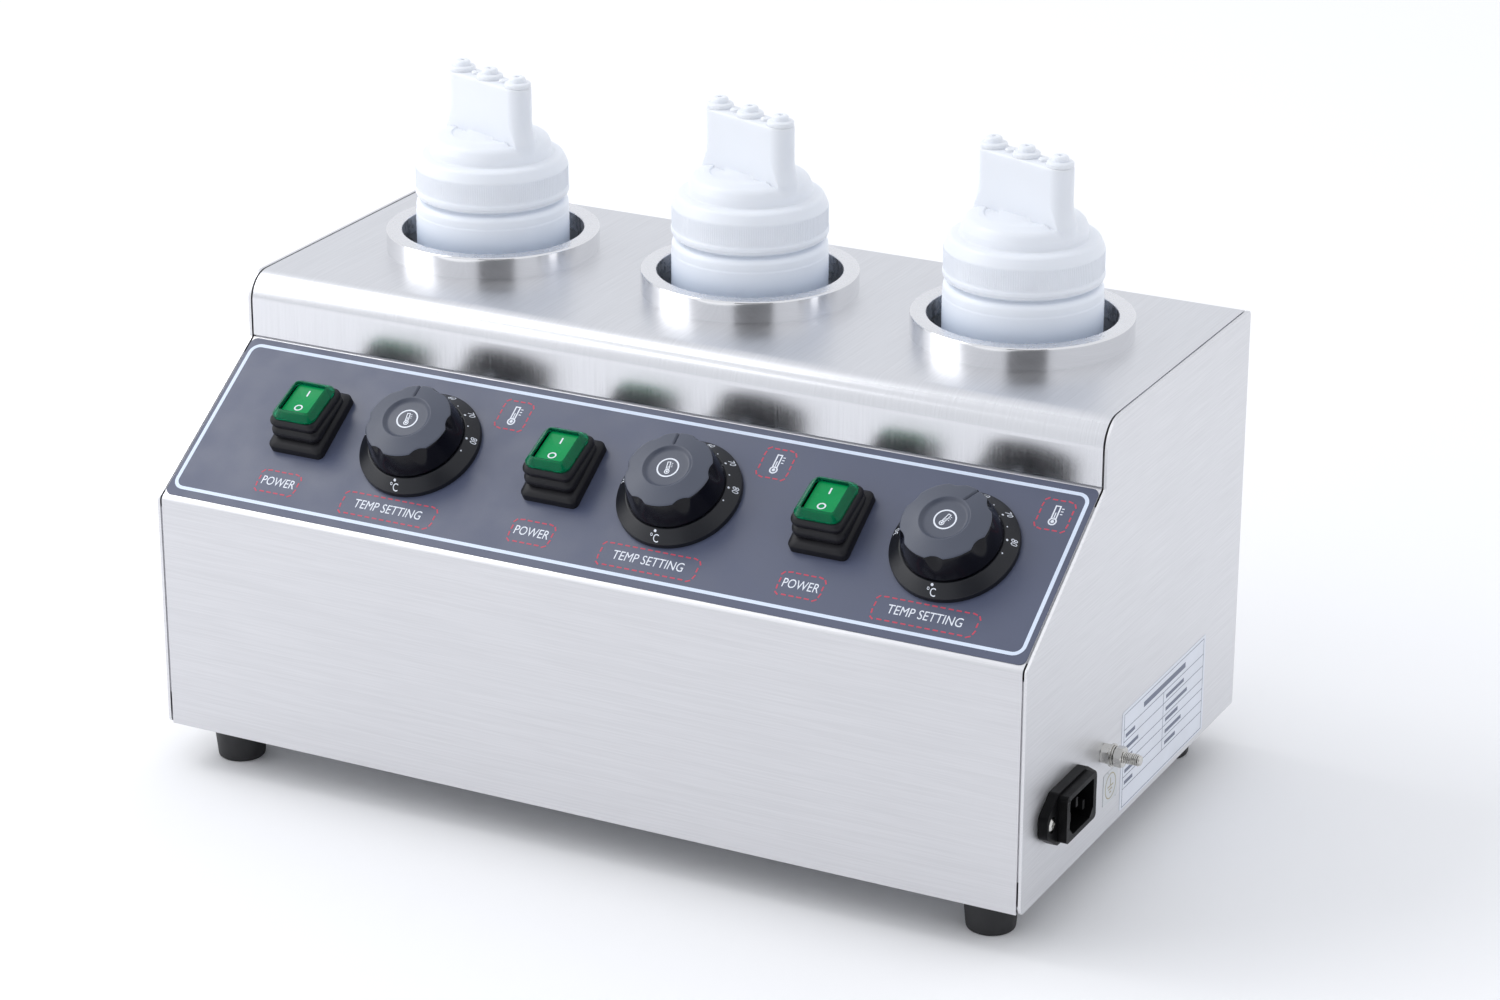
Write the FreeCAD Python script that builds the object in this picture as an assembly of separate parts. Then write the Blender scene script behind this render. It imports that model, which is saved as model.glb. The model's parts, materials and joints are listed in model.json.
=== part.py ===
import FreeCAD, Part
import math
import os

# Countertop warmer with three squeeze bottles, each in its own heated well with its own
# switch and thermostat. Millimetres. +X is to the right, -Y is the front with the sloping control
# panel, +Z is up. Everything is built about the middle of the casing's footprint on the counter.
# save() then moves it to the frame's origin, the middle of the whole object, earth stud included.

# ---- driving dimensions: casing
WIDTH = 400.0
DEPTH = 230.0
HEIGHT = 200.0
FOOT_HEIGHT = 19.0
FRONT_FACE_HEIGHT = 104.1
SLOPE_LENGTH = 88.9
SLOPE_DEG = 33.48
SHEET = 1.0
SIDE_SHEET = 1.2
SEAM = 0.8
TOP_BEND = 12.0
SMALL_BEND = 3.0
FIT_GAP = 0.05

# ---- driving dimensions: the three stations
STATIONS = ("left", "middle", "right")
WELL_PITCH = 126.5
WELL_Y = 43.0
WELL_RADIUS = 39.75
WELL_WALL = 0.8
WELL_FLOOR_Z = 48.7
WELL_FLANGE_RADIUS = 45.3
COLLAR_RADIUS = 46.8
COLLAR_HEIGHT = 9.3
CONTROL_PITCH = 122.3
KNOB_U = 28.3
KNOB_V = 49.3
SWITCH_U = -25.4
SWITCH_V = 49.6
POINTER_DEG = (9.0, 10.0, -24.0)

# ---- driving dimensions: bottle and cap
BOTTLE_RADIUS = 33.5
BOTTLE_WALL = 1.3
BOTTLE_BASE_Z = WELL_FLOOR_Z + 0.3
SHOULDER_Z = 222.5
NECK_RADIUS = 29.5
CAP_RADIUS = 33.3
CAP_WALL = 1.5
CAP_BASE_Z = 225.0
CREASE_Z = 243.6
DOME_RADIUS = 26.2
DOME_TOP_Z = 252.0
BLADE_TOP_Z = 276.2
BLADE_THICKNESS = 12.2
BLADE_HALF_LENGTH = 24.4
BLADE_TURN_DEG = -20.0
NIPPLE_PITCH = 18.6

# ---- derived places
FRONT_Y = -DEPTH / 2
BACK_Y = DEPTH / 2
BEND_Z = FOOT_HEIGHT + FRONT_FACE_HEIGHT
SLOPE = math.radians(SLOPE_DEG)
RISER_Y = FRONT_Y + SLOPE_LENGTH * math.cos(SLOPE)
RISER_Z = BEND_Z + SLOPE_LENGTH * math.sin(SLOPE)
SHEET_HALF_WIDTH = WIDTH / 2 - SIDE_SHEET - SEAM

# ---- small fittings
OVERLAY = 0.3
LABEL = 0.2
SPINDLE_RADIUS = 3.0
SPINDLE_CLEARANCE = 0.05
BUSH_RADIUS = 4.8
SWITCH_BODY = (21.6, 27.6)
SWITCH_HOLE = (22.0, 28.0)
BOOT_BASE = (26.0, 33.0)
BOOT_BASE_HEIGHT = 5.0
LENS_SIZE = (20.8, 23.6)
LENS_HEIGHT = 17.2
ROCKER_PIVOT = 4.0
ROCKER_TILT_DEG = 9.2
INLET_Y = -75.3
INLET_Z = 51.0
INLET_EAR = 20.0
HEATER = 2.2
BULB_RADIUS = 2.8
STUD_Y = -34.0
STUD_Z = 56.0
STUD_RADIUS = 2.5
STUD_END_RADIUS = 2.1
STUD_END = 9.6
STUD_REACH = 16.5
ORIGIN_X = STUD_REACH / 2
FOOT_X = 178.0
FOOT_Y = 93.0


def vector(x, y, z):
    return FreeCAD.Vector(x, y, z)


def station_x(index):
    return (index - 1) * WELL_PITCH


def knob_u(index):
    return KNOB_U + (index - 1) * CONTROL_PITCH


def switch_u(index):
    return SWITCH_U + (index - 1) * CONTROL_PITCH


def save(shape, node):
    """Move a finished node from the casing's middle to the frame's origin and write it."""
    placed(shape, -ORIGIN_X).exportStep("parts/" + node + ".step")
    print(node, "solids", len(shape.Solids), "volume mm3", round(shape.Volume, 1))


def placed(shape, x=0.0, y=0.0, z=0.0, turn=0.0):
    """A copy turned about Z by turn degrees and then moved."""
    copy = shape.copy()
    copy.rotate(vector(0, 0, 0), vector(0, 0, 1), turn)
    copy.translate(vector(x, y, z))
    return copy


def on_panel(shape, u, v, turn=0.0):
    """Move a shape made about the origin, +Z outwards, to the sloping panel.

    u runs along X, v runs up the slope from the front bend."""
    copy = placed(shape, u, v, 0, 0)
    if turn:
        copy = placed(shape, 0, 0, 0, turn)
        copy.translate(vector(u, v, 0))
    copy.rotate(vector(0, 0, 0), vector(1, 0, 0), SLOPE_DEG)
    copy.translate(vector(0, FRONT_Y, BEND_Z))
    return copy


# ---- outlines with round corners

def unit(a, b):
    step = b - a
    step.normalize()
    return step


def rounded_edges(points, radii, closed):
    """Straight edges through the points with a tangent arc of the given radius at each."""
    count = len(points)
    edges = []
    starts = []
    ends = []
    for i in range(count):
        here = points[i]
        inner = closed or 0 < i < count - 1
        radius = radii[i] if inner else 0
        if radius <= 0:
            starts.append(here)
            ends.append(here)
            continue
        before = unit(here, points[i - 1])
        after = unit(here, points[(i + 1) % count])
        half = before.getAngle(after) / 2
        reach = radius / math.tan(half)
        middle = here + unit(vector(0, 0, 0), before + after) * (radius / math.sin(half) - radius)
        starts.append(here + before * reach)
        ends.append(here + after * reach)
        edges.append(Part.Arc(starts[i], middle, ends[i]).toShape())
    last = count if closed else count - 1
    for i in range(last):
        a = ends[i]
        b = starts[(i + 1) % count]
        if a.distanceToPoint(b) > 1e-6:
            edges.append(Part.LineSegment(a, b).toShape())
    return edges


def face_of(edges):
    return Part.Face(Part.Wire(Part.__sortEdges__(edges)))


def rounded_face(points, radii):
    return face_of(rounded_edges(points, radii, True))


def rounded_box(width, length, height, radius, base=0.0):
    """A block centred on Z with rounded upright edges."""
    w = width / 2
    d = length / 2
    corners = [vector(-w, -d, base), vector(w, -d, base), vector(w, d, base), vector(-w, d, base)]
    return rounded_face(corners, [radius] * 4).extrude(vector(0, 0, height))


def tapered_box(low, high, base, top, low_radius, high_radius):
    """A block that narrows from the size low at base to the size high at top."""
    wires = []
    for size, z, radius in ((low, base, low_radius), (high, top, high_radius)):
        w = size[0] / 2
        d = size[1] / 2
        corners = [vector(-w, -d, z), vector(w, -d, z), vector(w, d, z), vector(-w, d, z)]
        wires.append(Part.Wire(Part.__sortEdges__(rounded_edges(corners, [radius] * 4, True))))
    return Part.makeLoft(wires, True, True)


def offset_points(points, distance):
    """The open line of (y, z) points moved to its left by distance, with square corners."""
    moved = []
    for i, (y, z) in enumerate(points):
        normals = []
        for a, b in ((i - 1, i), (i, i + 1)):
            if a < 0 or b >= len(points):
                continue
            dy = points[b][0] - points[a][0]
            dz = points[b][1] - points[a][1]
            size = math.hypot(dy, dz)
            normals.append((-dz / size, dy / size))
        ny = sum(n[0] for n in normals) / len(normals)
        nz = sum(n[1] for n in normals) / len(normals)
        scale = distance / (ny * ny + nz * nz)
        moved.append((y + ny * scale, z + nz * scale))
    return moved


def turn_side(points, i):
    """1 where the line of (y, z) points bends left at point i, and -1 where it bends right."""
    ay = points[i][0] - points[i - 1][0]
    az = points[i][1] - points[i - 1][1]
    by = points[i + 1][0] - points[i][0]
    bz = points[i + 1][1] - points[i][1]
    return 1 if ay * bz - az * by > 0 else -1


def bent_sheet(points, radii, thickness, x0, x1):
    """Sheet metal folded along (y, z) points of its outer face, its inside on the left."""
    inner_points = offset_points(points, thickness)
    inner_radii = [0] * len(points)
    for i in range(1, len(points) - 1):
        inner_radii[i] = max(radii[i] - turn_side(points, i) * thickness, 0)
    outer = [vector(x0, y, z) for y, z in points]
    inner = [vector(x0, y, z) for y, z in inner_points]
    edges = rounded_edges(outer, radii, False) + rounded_edges(inner, inner_radii, False)
    edges.append(Part.LineSegment(outer[0], inner[0]).toShape())
    edges.append(Part.LineSegment(outer[-1], inner[-1]).toShape())
    return face_of(edges).extrude(vector(x1 - x0, 0, 0))


def turned(profile):
    """A solid of revolution about Z from (radius, z) points, or (radius, z, corner radius)."""
    points = [vector(p[0], 0, p[1]) for p in profile]
    radii = [p[2] if len(p) > 2 else 0 for p in profile]
    return rounded_face(points, radii).revolve(vector(0, 0, 0), vector(0, 0, 1), 360)


def cylinder(radius, base, top, x=0.0, y=0.0):
    return Part.makeCylinder(radius, top - base, vector(x, y, base))


def ring(outer, inner, base, top):
    return cylinder(outer, base, top).cut(cylinder(inner, base - 1, top + 1))


def hexagon(across_flats, base, top):
    radius = across_flats / math.sqrt(3)
    corners = []
    for i in range(6):
        angle = math.radians(60 * i)
        corners.append(vector(radius * math.cos(angle), radius * math.sin(angle), base))
    return Part.Face(Part.makePolygon(corners + corners[:1])).extrude(vector(0, 0, top - base))


def along_x(shape, x, y, z):
    """Move a shape made about the origin, +Z outwards, to the right-hand wall, +X outwards."""
    copy = shape.copy()
    copy.rotate(vector(0, 0, 0), vector(0, 1, 0), 90)
    copy.translate(vector(x, y, z))
    return copy


def tube(points, bend_radii, radius):
    """A round rod along straight runs joined by tangent arcs."""
    edges = rounded_edges(points, [0] + bend_radii + [0], False)
    path = Part.Wire(Part.__sortEdges__(edges))
    start = unit(points[0], points[1])
    section = Part.Wire(Part.makeCircle(radius, points[0], start))
    return path.makePipeShell([section], True, False)


# ---- casing

def slots(count, pitch, width, length, depth, radius):
    """A row of round-ended slots along X, cut along Z."""
    row = [placed(rounded_box(width, length, depth, radius, -depth / 2), (i - (count - 1) / 2) * pitch)
           for i in range(count)]
    return Part.makeCompound(row)


def make_front_panel():
    lip = 0.6
    flange_y = RISER_Y + SHEET + FIT_GAP
    flange_z = BEND_Z + (flange_y - FRONT_Y) * math.tan(SLOPE)
    points = [(flange_y, flange_z + 13), (flange_y, flange_z), (FRONT_Y, BEND_Z), (FRONT_Y, FOOT_HEIGHT)]
    panel = bent_sheet(points, [0, lip, SMALL_BEND, 0], SHEET, -SHEET_HALF_WIDTH, SHEET_HALF_WIDTH)
    for i in range(3):
        hole = rounded_box(SWITCH_HOLE[0], SWITCH_HOLE[1], 6, 1, -3)
        panel = panel.cut(on_panel(hole, switch_u(i), SWITCH_V))
        panel = panel.cut(on_panel(cylinder(BUSH_RADIUS + 0.2, -3, 3), knob_u(i), KNOB_V))
    return panel


def make_top_cover():
    seam = 0.9
    points = [(BACK_Y, FOOT_HEIGHT), (BACK_Y, HEIGHT), (RISER_Y, HEIGHT), (RISER_Y, RISER_Z + seam)]
    cover = bent_sheet(points, [0, SMALL_BEND, TOP_BEND, 0], SHEET, -SHEET_HALF_WIDTH, SHEET_HALF_WIDTH)
    for i in range(3):
        hole = cylinder(WELL_RADIUS + WELL_WALL + 0.3, HEIGHT - 5, HEIGHT + 5, station_x(i), WELL_Y)
        cover = cover.cut(hole)
        vents = slots(9, 8.0, 3.0, 34.0, 10.0, 1.45)
        vents.rotate(vector(0, 0, 0), vector(1, 0, 0), 90)
        vents.translate(vector(station_x(i), BACK_Y, 150))
        cover = cover.cut(vents)
    return cover


def make_side_panel():
    """The right-hand panel: a flat plate and four short flanges folded inwards."""
    x = WIDTH / 2 - SIDE_SHEET
    outline = [(BACK_Y, FOOT_HEIGHT), (BACK_Y, HEIGHT), (RISER_Y, HEIGHT), (RISER_Y, RISER_Z),
               (FRONT_Y, BEND_Z), (FRONT_Y, FOOT_HEIGHT)]
    radii = [1, SMALL_BEND, TOP_BEND, 0.6, SMALL_BEND, 2.5]
    plate = rounded_face([vector(x, y, z) for y, z in outline], radii).extrude(vector(SIDE_SHEET, 0, 0))
    inset = SHEET + FIT_GAP
    inner = offset_points([outline[0], outline[1], outline[2]], inset)
    slope_line = offset_points([outline[3], outline[4], outline[5]], inset)
    runs = ((inner[0], inner[1], 14, 4), (inner[1], inner[2], 5, 18),
            (slope_line[0], slope_line[1], 8, 4), (slope_line[1], slope_line[2], 4, 14))
    for a, b, first, last in runs:
        length = math.hypot(b[0] - a[0], b[1] - a[1])
        step = ((b[0] - a[0]) / length, (b[1] - a[1]) / length)
        p = (a[0] + step[0] * first, a[1] + step[1] * first)
        q = (b[0] - step[0] * last, b[1] - step[1] * last)
        plate = plate.fuse(bent_sheet([p, q], [0, 0], SHEET, x - 11, x))
    return plate.removeSplitter()


def make_inlet_hole():
    return along_x(rounded_box(20.6, 28.0, 20, 3, -10), WIDTH / 2, INLET_Y, INLET_Z)


def make_base_plate():
    edge = FIT_GAP + SHEET
    y = BACK_Y - edge
    rise = FOOT_HEIGHT + 13
    points = [(-y, rise), (-y, FOOT_HEIGHT), (y, FOOT_HEIGHT), (y, rise)]
    tray = bent_sheet(points, [0, 2, 2, 0], SIDE_SHEET, -184, 184)
    x = WIDTH / 2 - SIDE_SHEET - FIT_GAP
    wing = Part.makeBox(2 * x, 2 * y - 8, SIDE_SHEET, vector(-x, -y + 4, FOOT_HEIGHT))
    tray = tray.fuse(wing).removeSplitter()
    for i in range(3):
        for side in (-1, 1):
            vents = slots(7, 9.0, 3.0, 30.0, 10.0, 1.45)
            vents.translate(vector(station_x(i), WELL_Y + side * 22 - 20, FOOT_HEIGHT))
            tray = tray.cut(vents)
    for x, y in foot_places():
        tray = tray.cut(cylinder(2.3, FOOT_HEIGHT - 2, FOOT_HEIGHT + 4, x, y))
    return tray


def foot_places():
    return [(sx * FOOT_X, sy * FOOT_Y) for sx in (-1, 1) for sy in (-1, 1)]


def make_feet():
    top = FOOT_HEIGHT
    profile = [(2.3, 8), (4.8, 8), (4.8, 0), (9.6, 0), (10.15, 0.8), (12, top), (2.3, top)]
    foot = turned(profile)
    return Part.makeCompound([placed(foot, x, y) for x, y in foot_places()])


def make_underside_screws():
    """A pan-head screw up through each foot and the base, with a washer and a nut inside."""
    base_top = FOOT_HEIGHT + SIDE_SHEET
    head = turned([(0, 5.4), (3.2, 5.4), (3.9, 6.2), (3.9, 8), (0, 8)])
    slot = Part.makeBox(8, 0.9, 1.1, vector(-4, -0.45, 5.3))
    shank = cylinder(2.0, 8, base_top + 7)
    nut = hexagon(7.0, base_top + 1.0, base_top + 4.2).cut(cylinder(2.0, 0, 60))
    washer = ring(4.5, 2.0, base_top, base_top + 1.0)
    screw = head.cut(slot).fuse([shank, nut, washer])
    return Part.makeCompound([placed(screw, x, y) for x, y in foot_places()])


# ---- a heated well and its bottle, about the Z axis

def make_well():
    top = HEIGHT + WELL_WALL
    floor = WELL_FLOOR_Z
    out = WELL_RADIUS + WELL_WALL
    rim = WELL_FLANGE_RADIUS
    profile = [(0, floor - WELL_WALL), (out, floor - WELL_WALL, 4), (out, HEIGHT), (rim, HEIGHT),
               (rim, top), (WELL_RADIUS, top), (WELL_RADIUS, floor, 3.2), (0, floor)]
    return turned(profile)


def make_collar():
    flange_top = HEIGHT + WELL_WALL
    top = HEIGHT + COLLAR_HEIGHT
    rebate = WELL_FLANGE_RADIUS + 0.2
    profile = [(WELL_RADIUS, flange_top), (rebate, flange_top), (rebate, HEIGHT), (COLLAR_RADIUS, HEIGHT),
               (COLLAR_RADIUS, top, 0.7), (WELL_RADIUS, top, 0.9)]
    return turned(profile)


def make_heater_band():
    """A flat heating element wrapped round the well, open at the back, with its terminal block."""
    low = 62.0
    high = 148.0
    inside = WELL_RADIUS + WELL_WALL + FIT_GAP
    band = ring(inside + HEATER, inside, low, high)
    band = band.cut(Part.makeBox(12, 20, 120, vector(-6, inside - 8, low - 10)))
    for side in (-1, 1):
        lug = Part.makeBox(1.4, 9, high - low - 20, vector(side * 6.7 - 0.7, inside + 0.1, low + 10))
        band = band.fuse(lug)
    block = Part.makeBox(16, 7, 12, vector(-8, -inside - 8.4, 96))
    return band.fuse(block).removeSplitter()


def make_bottle():
    base = BOTTLE_BASE_Z
    out = BOTTLE_RADIUS
    wall = BOTTLE_WALL
    neck_top = 239.5
    neck_in = NECK_RADIUS - wall
    profile = [(0, base + 3), (24, base + 3, 1.5), (26, base, 0.6), (out, base, 5), (out, SHOULDER_Z, 3.0),
               (NECK_RADIUS, SHOULDER_Z + 0.8, 0.8), (NECK_RADIUS, neck_top, 0.3), (neck_in, neck_top, 0.3),
               (neck_in, SHOULDER_Z - 0.6, 1.2), (out - wall, SHOULDER_Z - 1.6, 2.0),
               (out - wall, base + wall, 3.8), (25.5, base + wall, 0.5), (24.5, base + 4.2, 0.5),
               (0, base + 4.2)]
    return turned(profile)


def make_cap_seal():
    return ring(30.6, 26.6, 239.8, 241.0)


def dome_profile(shrink):
    """The cap's outside, or its inside when shrunk by the wall, as turned points from the top."""
    top = DOME_TOP_Z - shrink
    dome = DOME_RADIUS - shrink
    collar = CAP_RADIUS - shrink
    crease = CREASE_Z - shrink
    return [(0, top), (17.5 - shrink, top, 2.5), (dome - 3.6, top - 2.2, 3.5), (dome, crease + 2.8, 3.0),
            (dome + 0.3, crease, 0.7), (collar - 2.2, crease - 0.7, 2.5), (collar, crease - 5.5, 3.0)]


def make_blade():
    """The flat spout housing: a long round-ended wall across the dome that flares out at its foot."""
    length = 2 * BLADE_HALF_LENGTH
    depth = BLADE_THICKNESS
    blade = None
    foot = (length + 3.0, depth + 2.4, 247.0)
    for grow, low, high in ((0.9, 247.0, 254.5), (0.0, 254.5, 262.0)):
        head = (length + grow, depth + grow, high)
        part = tapered_box(foot[:2], head[:2], low, high, foot[1] / 2 - 0.1, head[1] / 2 - 0.1)
        blade = part if blade is None else blade.fuse(part)
        foot = head
    wall = rounded_box(length, depth, BLADE_TOP_Z - 262.0, depth / 2 - 0.1, 262.0)
    wall = wall.makeFillet(1.0, [edge for edge in wall.Edges if edge.BoundBox.ZMin > BLADE_TOP_Z - 0.01])
    return blade.fuse(wall)


def make_nipple():
    """One stepped spout tip that can be cut at either of its two sizes."""
    z = BLADE_TOP_Z
    return turned([(0, z - 1), (5.7, z - 1), (5.7, z + 2.1, 0.6), (3.5, z + 2.3, 0.3), (3.3, z + 4.5, 0.7),
                   (0, z + 4.5)])


def make_cap():
    skirt = [(CAP_RADIUS, CAP_BASE_Z + 2.6), (CAP_RADIUS + 0.35, CAP_BASE_Z + 2.0, 0.4),
             (CAP_RADIUS + 0.35, CAP_BASE_Z, 0.6), (NECK_RADIUS + 0.8, CAP_BASE_Z),
             (NECK_RADIUS + 0.8, 239.0, 0.5), (30.8, 239.4), (30.8, 241.3, 0.3), (25.0, 241.3)]
    inner = dome_profile(CAP_WALL)
    hollow = [(inner[3][0], inner[3][1], 2.0), (inner[2][0], inner[2][1], 2.0), inner[1], inner[0]]
    cap = turned(dome_profile(0) + skirt + hollow)
    cap = cap.fuse(make_blade())
    for i in range(3):
        cap = cap.fuse(placed(make_nipple(), (i - 1) * NIPPLE_PITCH))
    for i in (-0.5, 0.5):
        boss = cylinder(1.9, BLADE_TOP_Z - 1, BLADE_TOP_Z + 1.2, i * NIPPLE_PITCH)
        cap = cap.fuse(boss)
    room = rounded_box(2 * (BLADE_HALF_LENGTH - CAP_WALL), BLADE_THICKNESS - 2 * CAP_WALL,
                       BLADE_TOP_Z - CAP_WALL - 244.0, 3.0, 244.0)
    cap = cap.cut(room)
    for i in range(3):
        cap = cap.cut(cylinder(1.2, BLADE_TOP_Z - 4, BLADE_TOP_Z + 8, (i - 1) * NIPPLE_PITCH))
    return cap.removeSplitter()


# ---- panel controls, made about the origin with +Z out of the panel

def make_overlay():
    low = 2.6
    high = SLOPE_LENGTH - 0.5
    half = SHEET_HALF_WIDTH - 0.2
    corners = [vector(-half, low, 0), vector(half, low, 0), vector(half, high, 0), vector(-half, high, 0)]
    film = rounded_face(corners, [3] * 4).extrude(vector(0, 0, OVERLAY))
    for i in range(3):
        hole = rounded_box(SWITCH_HOLE[0], SWITCH_HOLE[1], 2, 1, -1)
        film = film.cut(placed(hole, switch_u(i), SWITCH_V))
        film = film.cut(cylinder(BUSH_RADIUS + 0.2, -1, 1, knob_u(i), KNOB_V))
    return on_panel(film, 0, 0)


def make_dial_bezel():
    base = OVERLAY
    return turned([(6.4, base), (26.5, base), (26.5, 2.5, 0.4), (21.4, 6.3, 0.5), (20.4, 6.3, 0.4),
                   (19.6, 3.4, 0.5), (6.4, 3.4)])


def make_knob():
    foot = 7.0
    hub = [(3.0, foot - 1.0), (6.0, foot - 1.0), (6.0, 14.5), (14.6, 14.5), (18.3, foot), (20.9, foot)]
    top = [(18.5, 18.2, 1.2), (10.4, 20.5, 0.5), (8.8, 19.4, 2.5), (0, 19.1), (0, 16), (3.0, 16)]
    body = turned(hub + top)
    flat = Part.makeBox(6, 2, 9, vector(-3, 1.5, foot - 1.0))
    body = body.fuse(flat.common(cylinder(3.0, foot - 1.0, 15.5)))
    for i in range(6):
        angle = 30 + 60 * i
        scoop = Part.makeCylinder(8.0, 40, vector(0, 0, -20))
        scoop.rotate(vector(0, 0, 0), vector(0, 1, 0), -22.5)
        scoop.translate(vector(25.2, 0, 18.0))
        body = body.cut(placed(scoop, 0, 0, 0, angle + 90))
    mark = [vector(-0.7, 10.8, 22), vector(0.7, 10.8, 22), vector(0, 10.8, 19.2), vector(-0.7, 10.8, 22)]
    groove = Part.Face(Part.makePolygon(mark)).extrude(vector(0, 12, 0))
    groove.rotate(vector(0, 10.8, 20.5), vector(1, 0, 0), -15)
    return body.cut(groove)


def make_spindle():
    shaft = cylinder(SPINDLE_RADIUS, -12, 15.9)
    return shaft.cut(Part.makeBox(8, 4, 12, vector(-4, 1.5, 5.9)))


def make_thermostat_body():
    """A capillary thermostat: its case, mounting plate and threaded bush round the spindle."""
    back = -SHEET
    plate = rounded_box(30, 34, 1.5, 2, back - 1.5)
    bush = cylinder(BUSH_RADIUS, back - 10, 3.3)
    case = rounded_box(30, 34, 21, 3, back - 25)
    posts = [cylinder(2.5, back - 5, back - 1, x, y) for x in (-11, 11) for y in (-13, 13)]
    nut = hexagon(12.0, OVERLAY, 3.2).common(cylinder(6.2, 0, 4))
    tabs = [Part.makeBox(0.8, 6, 8, vector(x - 0.4, -3, back - 32)) for x in (-9, 9)]
    shape = plate.fuse([bush, case] + posts + tabs)
    shape = shape.fuse(nut)
    return shape.cut(cylinder(SPINDLE_RADIUS + SPINDLE_CLEARANCE, -12.5, 5))


def make_switch_body():
    """The switch's case below the panel, its rim above it and its blade terminals."""
    case = rounded_box(SWITCH_BODY[0], SWITCH_BODY[1], 22, 1, -SHEET - 21)
    rim = rounded_box(23.5, 30.5, 1.2, 2, OVERLAY)
    case = case.fuse(rounded_box(SWITCH_BODY[0], SWITCH_BODY[1], 1.5, 1, 0)).fuse(rim)
    mouth = rounded_box(15.5, 22.5, 13, 1, -9)
    case = case.cut(mouth)
    for x in (-5, 5):
        for y in (-7, 0, 7):
            blade = Part.makeBox(0.8, 4.8, 8, vector(x - 0.4, y - 2.4, -SHEET - 29))
            case = case.fuse(blade)
    return case


def tilted(shape, degrees):
    """Tip a switch piece about the rocker's pivot, its up-slope end inwards."""
    copy = shape.copy()
    copy.rotate(vector(0, 0, ROCKER_PIVOT), vector(1, 0, 0), -degrees)
    return copy


def make_rocker():
    top = LENS_HEIGHT - 1.9
    block = tapered_box((14.4, 18.6), (14.0, 17.6), 2.4, top, 1.2, 1.2)
    dish = Part.makeCylinder(60, 30, vector(-15, 0, top + 59.4), vector(1, 0, 0))
    stem = Part.makeCylinder(4.2, 14.0, vector(-7.0, 0, ROCKER_PIVOT - 0.6), vector(1, 0, 0))
    return tilted(block.cut(dish).fuse(stem).removeSplitter(), ROCKER_TILT_DEG)


def make_lens():
    """The clear cover: a rounded rim that slopes up to a window over the rocker."""
    rim_top = LENS_HEIGHT - 2.2
    crown_foot = (LENS_SIZE[0] - 0.8, LENS_SIZE[1] - 0.8)
    rim = tapered_box(LENS_SIZE, crown_foot, rim_top - 1.6, rim_top, 4.0, 3.6)
    crown = tapered_box(crown_foot, (16.0, 18.2), rim_top, LENS_HEIGHT, 3.6, 2.0)
    room = tapered_box((18.0, 20.4), (15.0, 18.0), rim_top - 2, LENS_HEIGHT - 1.4, 2.0, 1.4)
    return tilted(rim.fuse(crown).cut(room), ROCKER_TILT_DEG)


def make_boot():
    """The rubber boot: a thick base round the switch and two bellows folds under the cover."""
    base = rounded_box(BOOT_BASE[0], BOOT_BASE[1], 3.6, 2.5, OVERLAY)
    base = base.fuse(tapered_box(BOOT_BASE, (BOOT_BASE[0] - 4, BOOT_BASE[1] - 4), OVERLAY + 3.6,
                                 BOOT_BASE_HEIGHT + OVERLAY, 2.5, 3.5))
    boot = base
    lens_base = LENS_HEIGHT - 2.2 - 1.6 - 0.1
    fold = (lens_base - BOOT_BASE_HEIGHT - OVERLAY + 0.4) / 2
    for i in range(2):
        z = BOOT_BASE_HEIGHT + OVERLAY - 0.4 + i * fold
        grow = 1.0 - i * 0.5
        wide = (LENS_SIZE[0] + 2.2 + grow, LENS_SIZE[1] + 2.0 + grow)
        narrow = (wide[0] - 2.2, wide[1] - 2.2)
        lower = tapered_box(narrow, wide, z, z + fold / 2, 2.8, 3.9)
        upper = tapered_box(wide, narrow, z + fold / 2, z + fold, 3.9, 2.8)
        layer = tilted(lower.fuse(upper), ROCKER_TILT_DEG * (i + 1) / 2)
        boot = boot.fuse(layer)
    well = rounded_box(23.7, 30.7, 1.6, 2, OVERLAY - 0.2)
    low_room = rounded_box(17.5, 24.0, 5.0, 1.5, 1.2)
    high_room = tapered_box((17.6, 21.4), (18.0, 20.8), 4.6, lens_base + 4, 1.5, 2.0)
    return boot.cut(well).cut(low_room).cut(tilted(high_room, ROCKER_TILT_DEG))


# ---- things on and behind the right-hand wall

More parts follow.
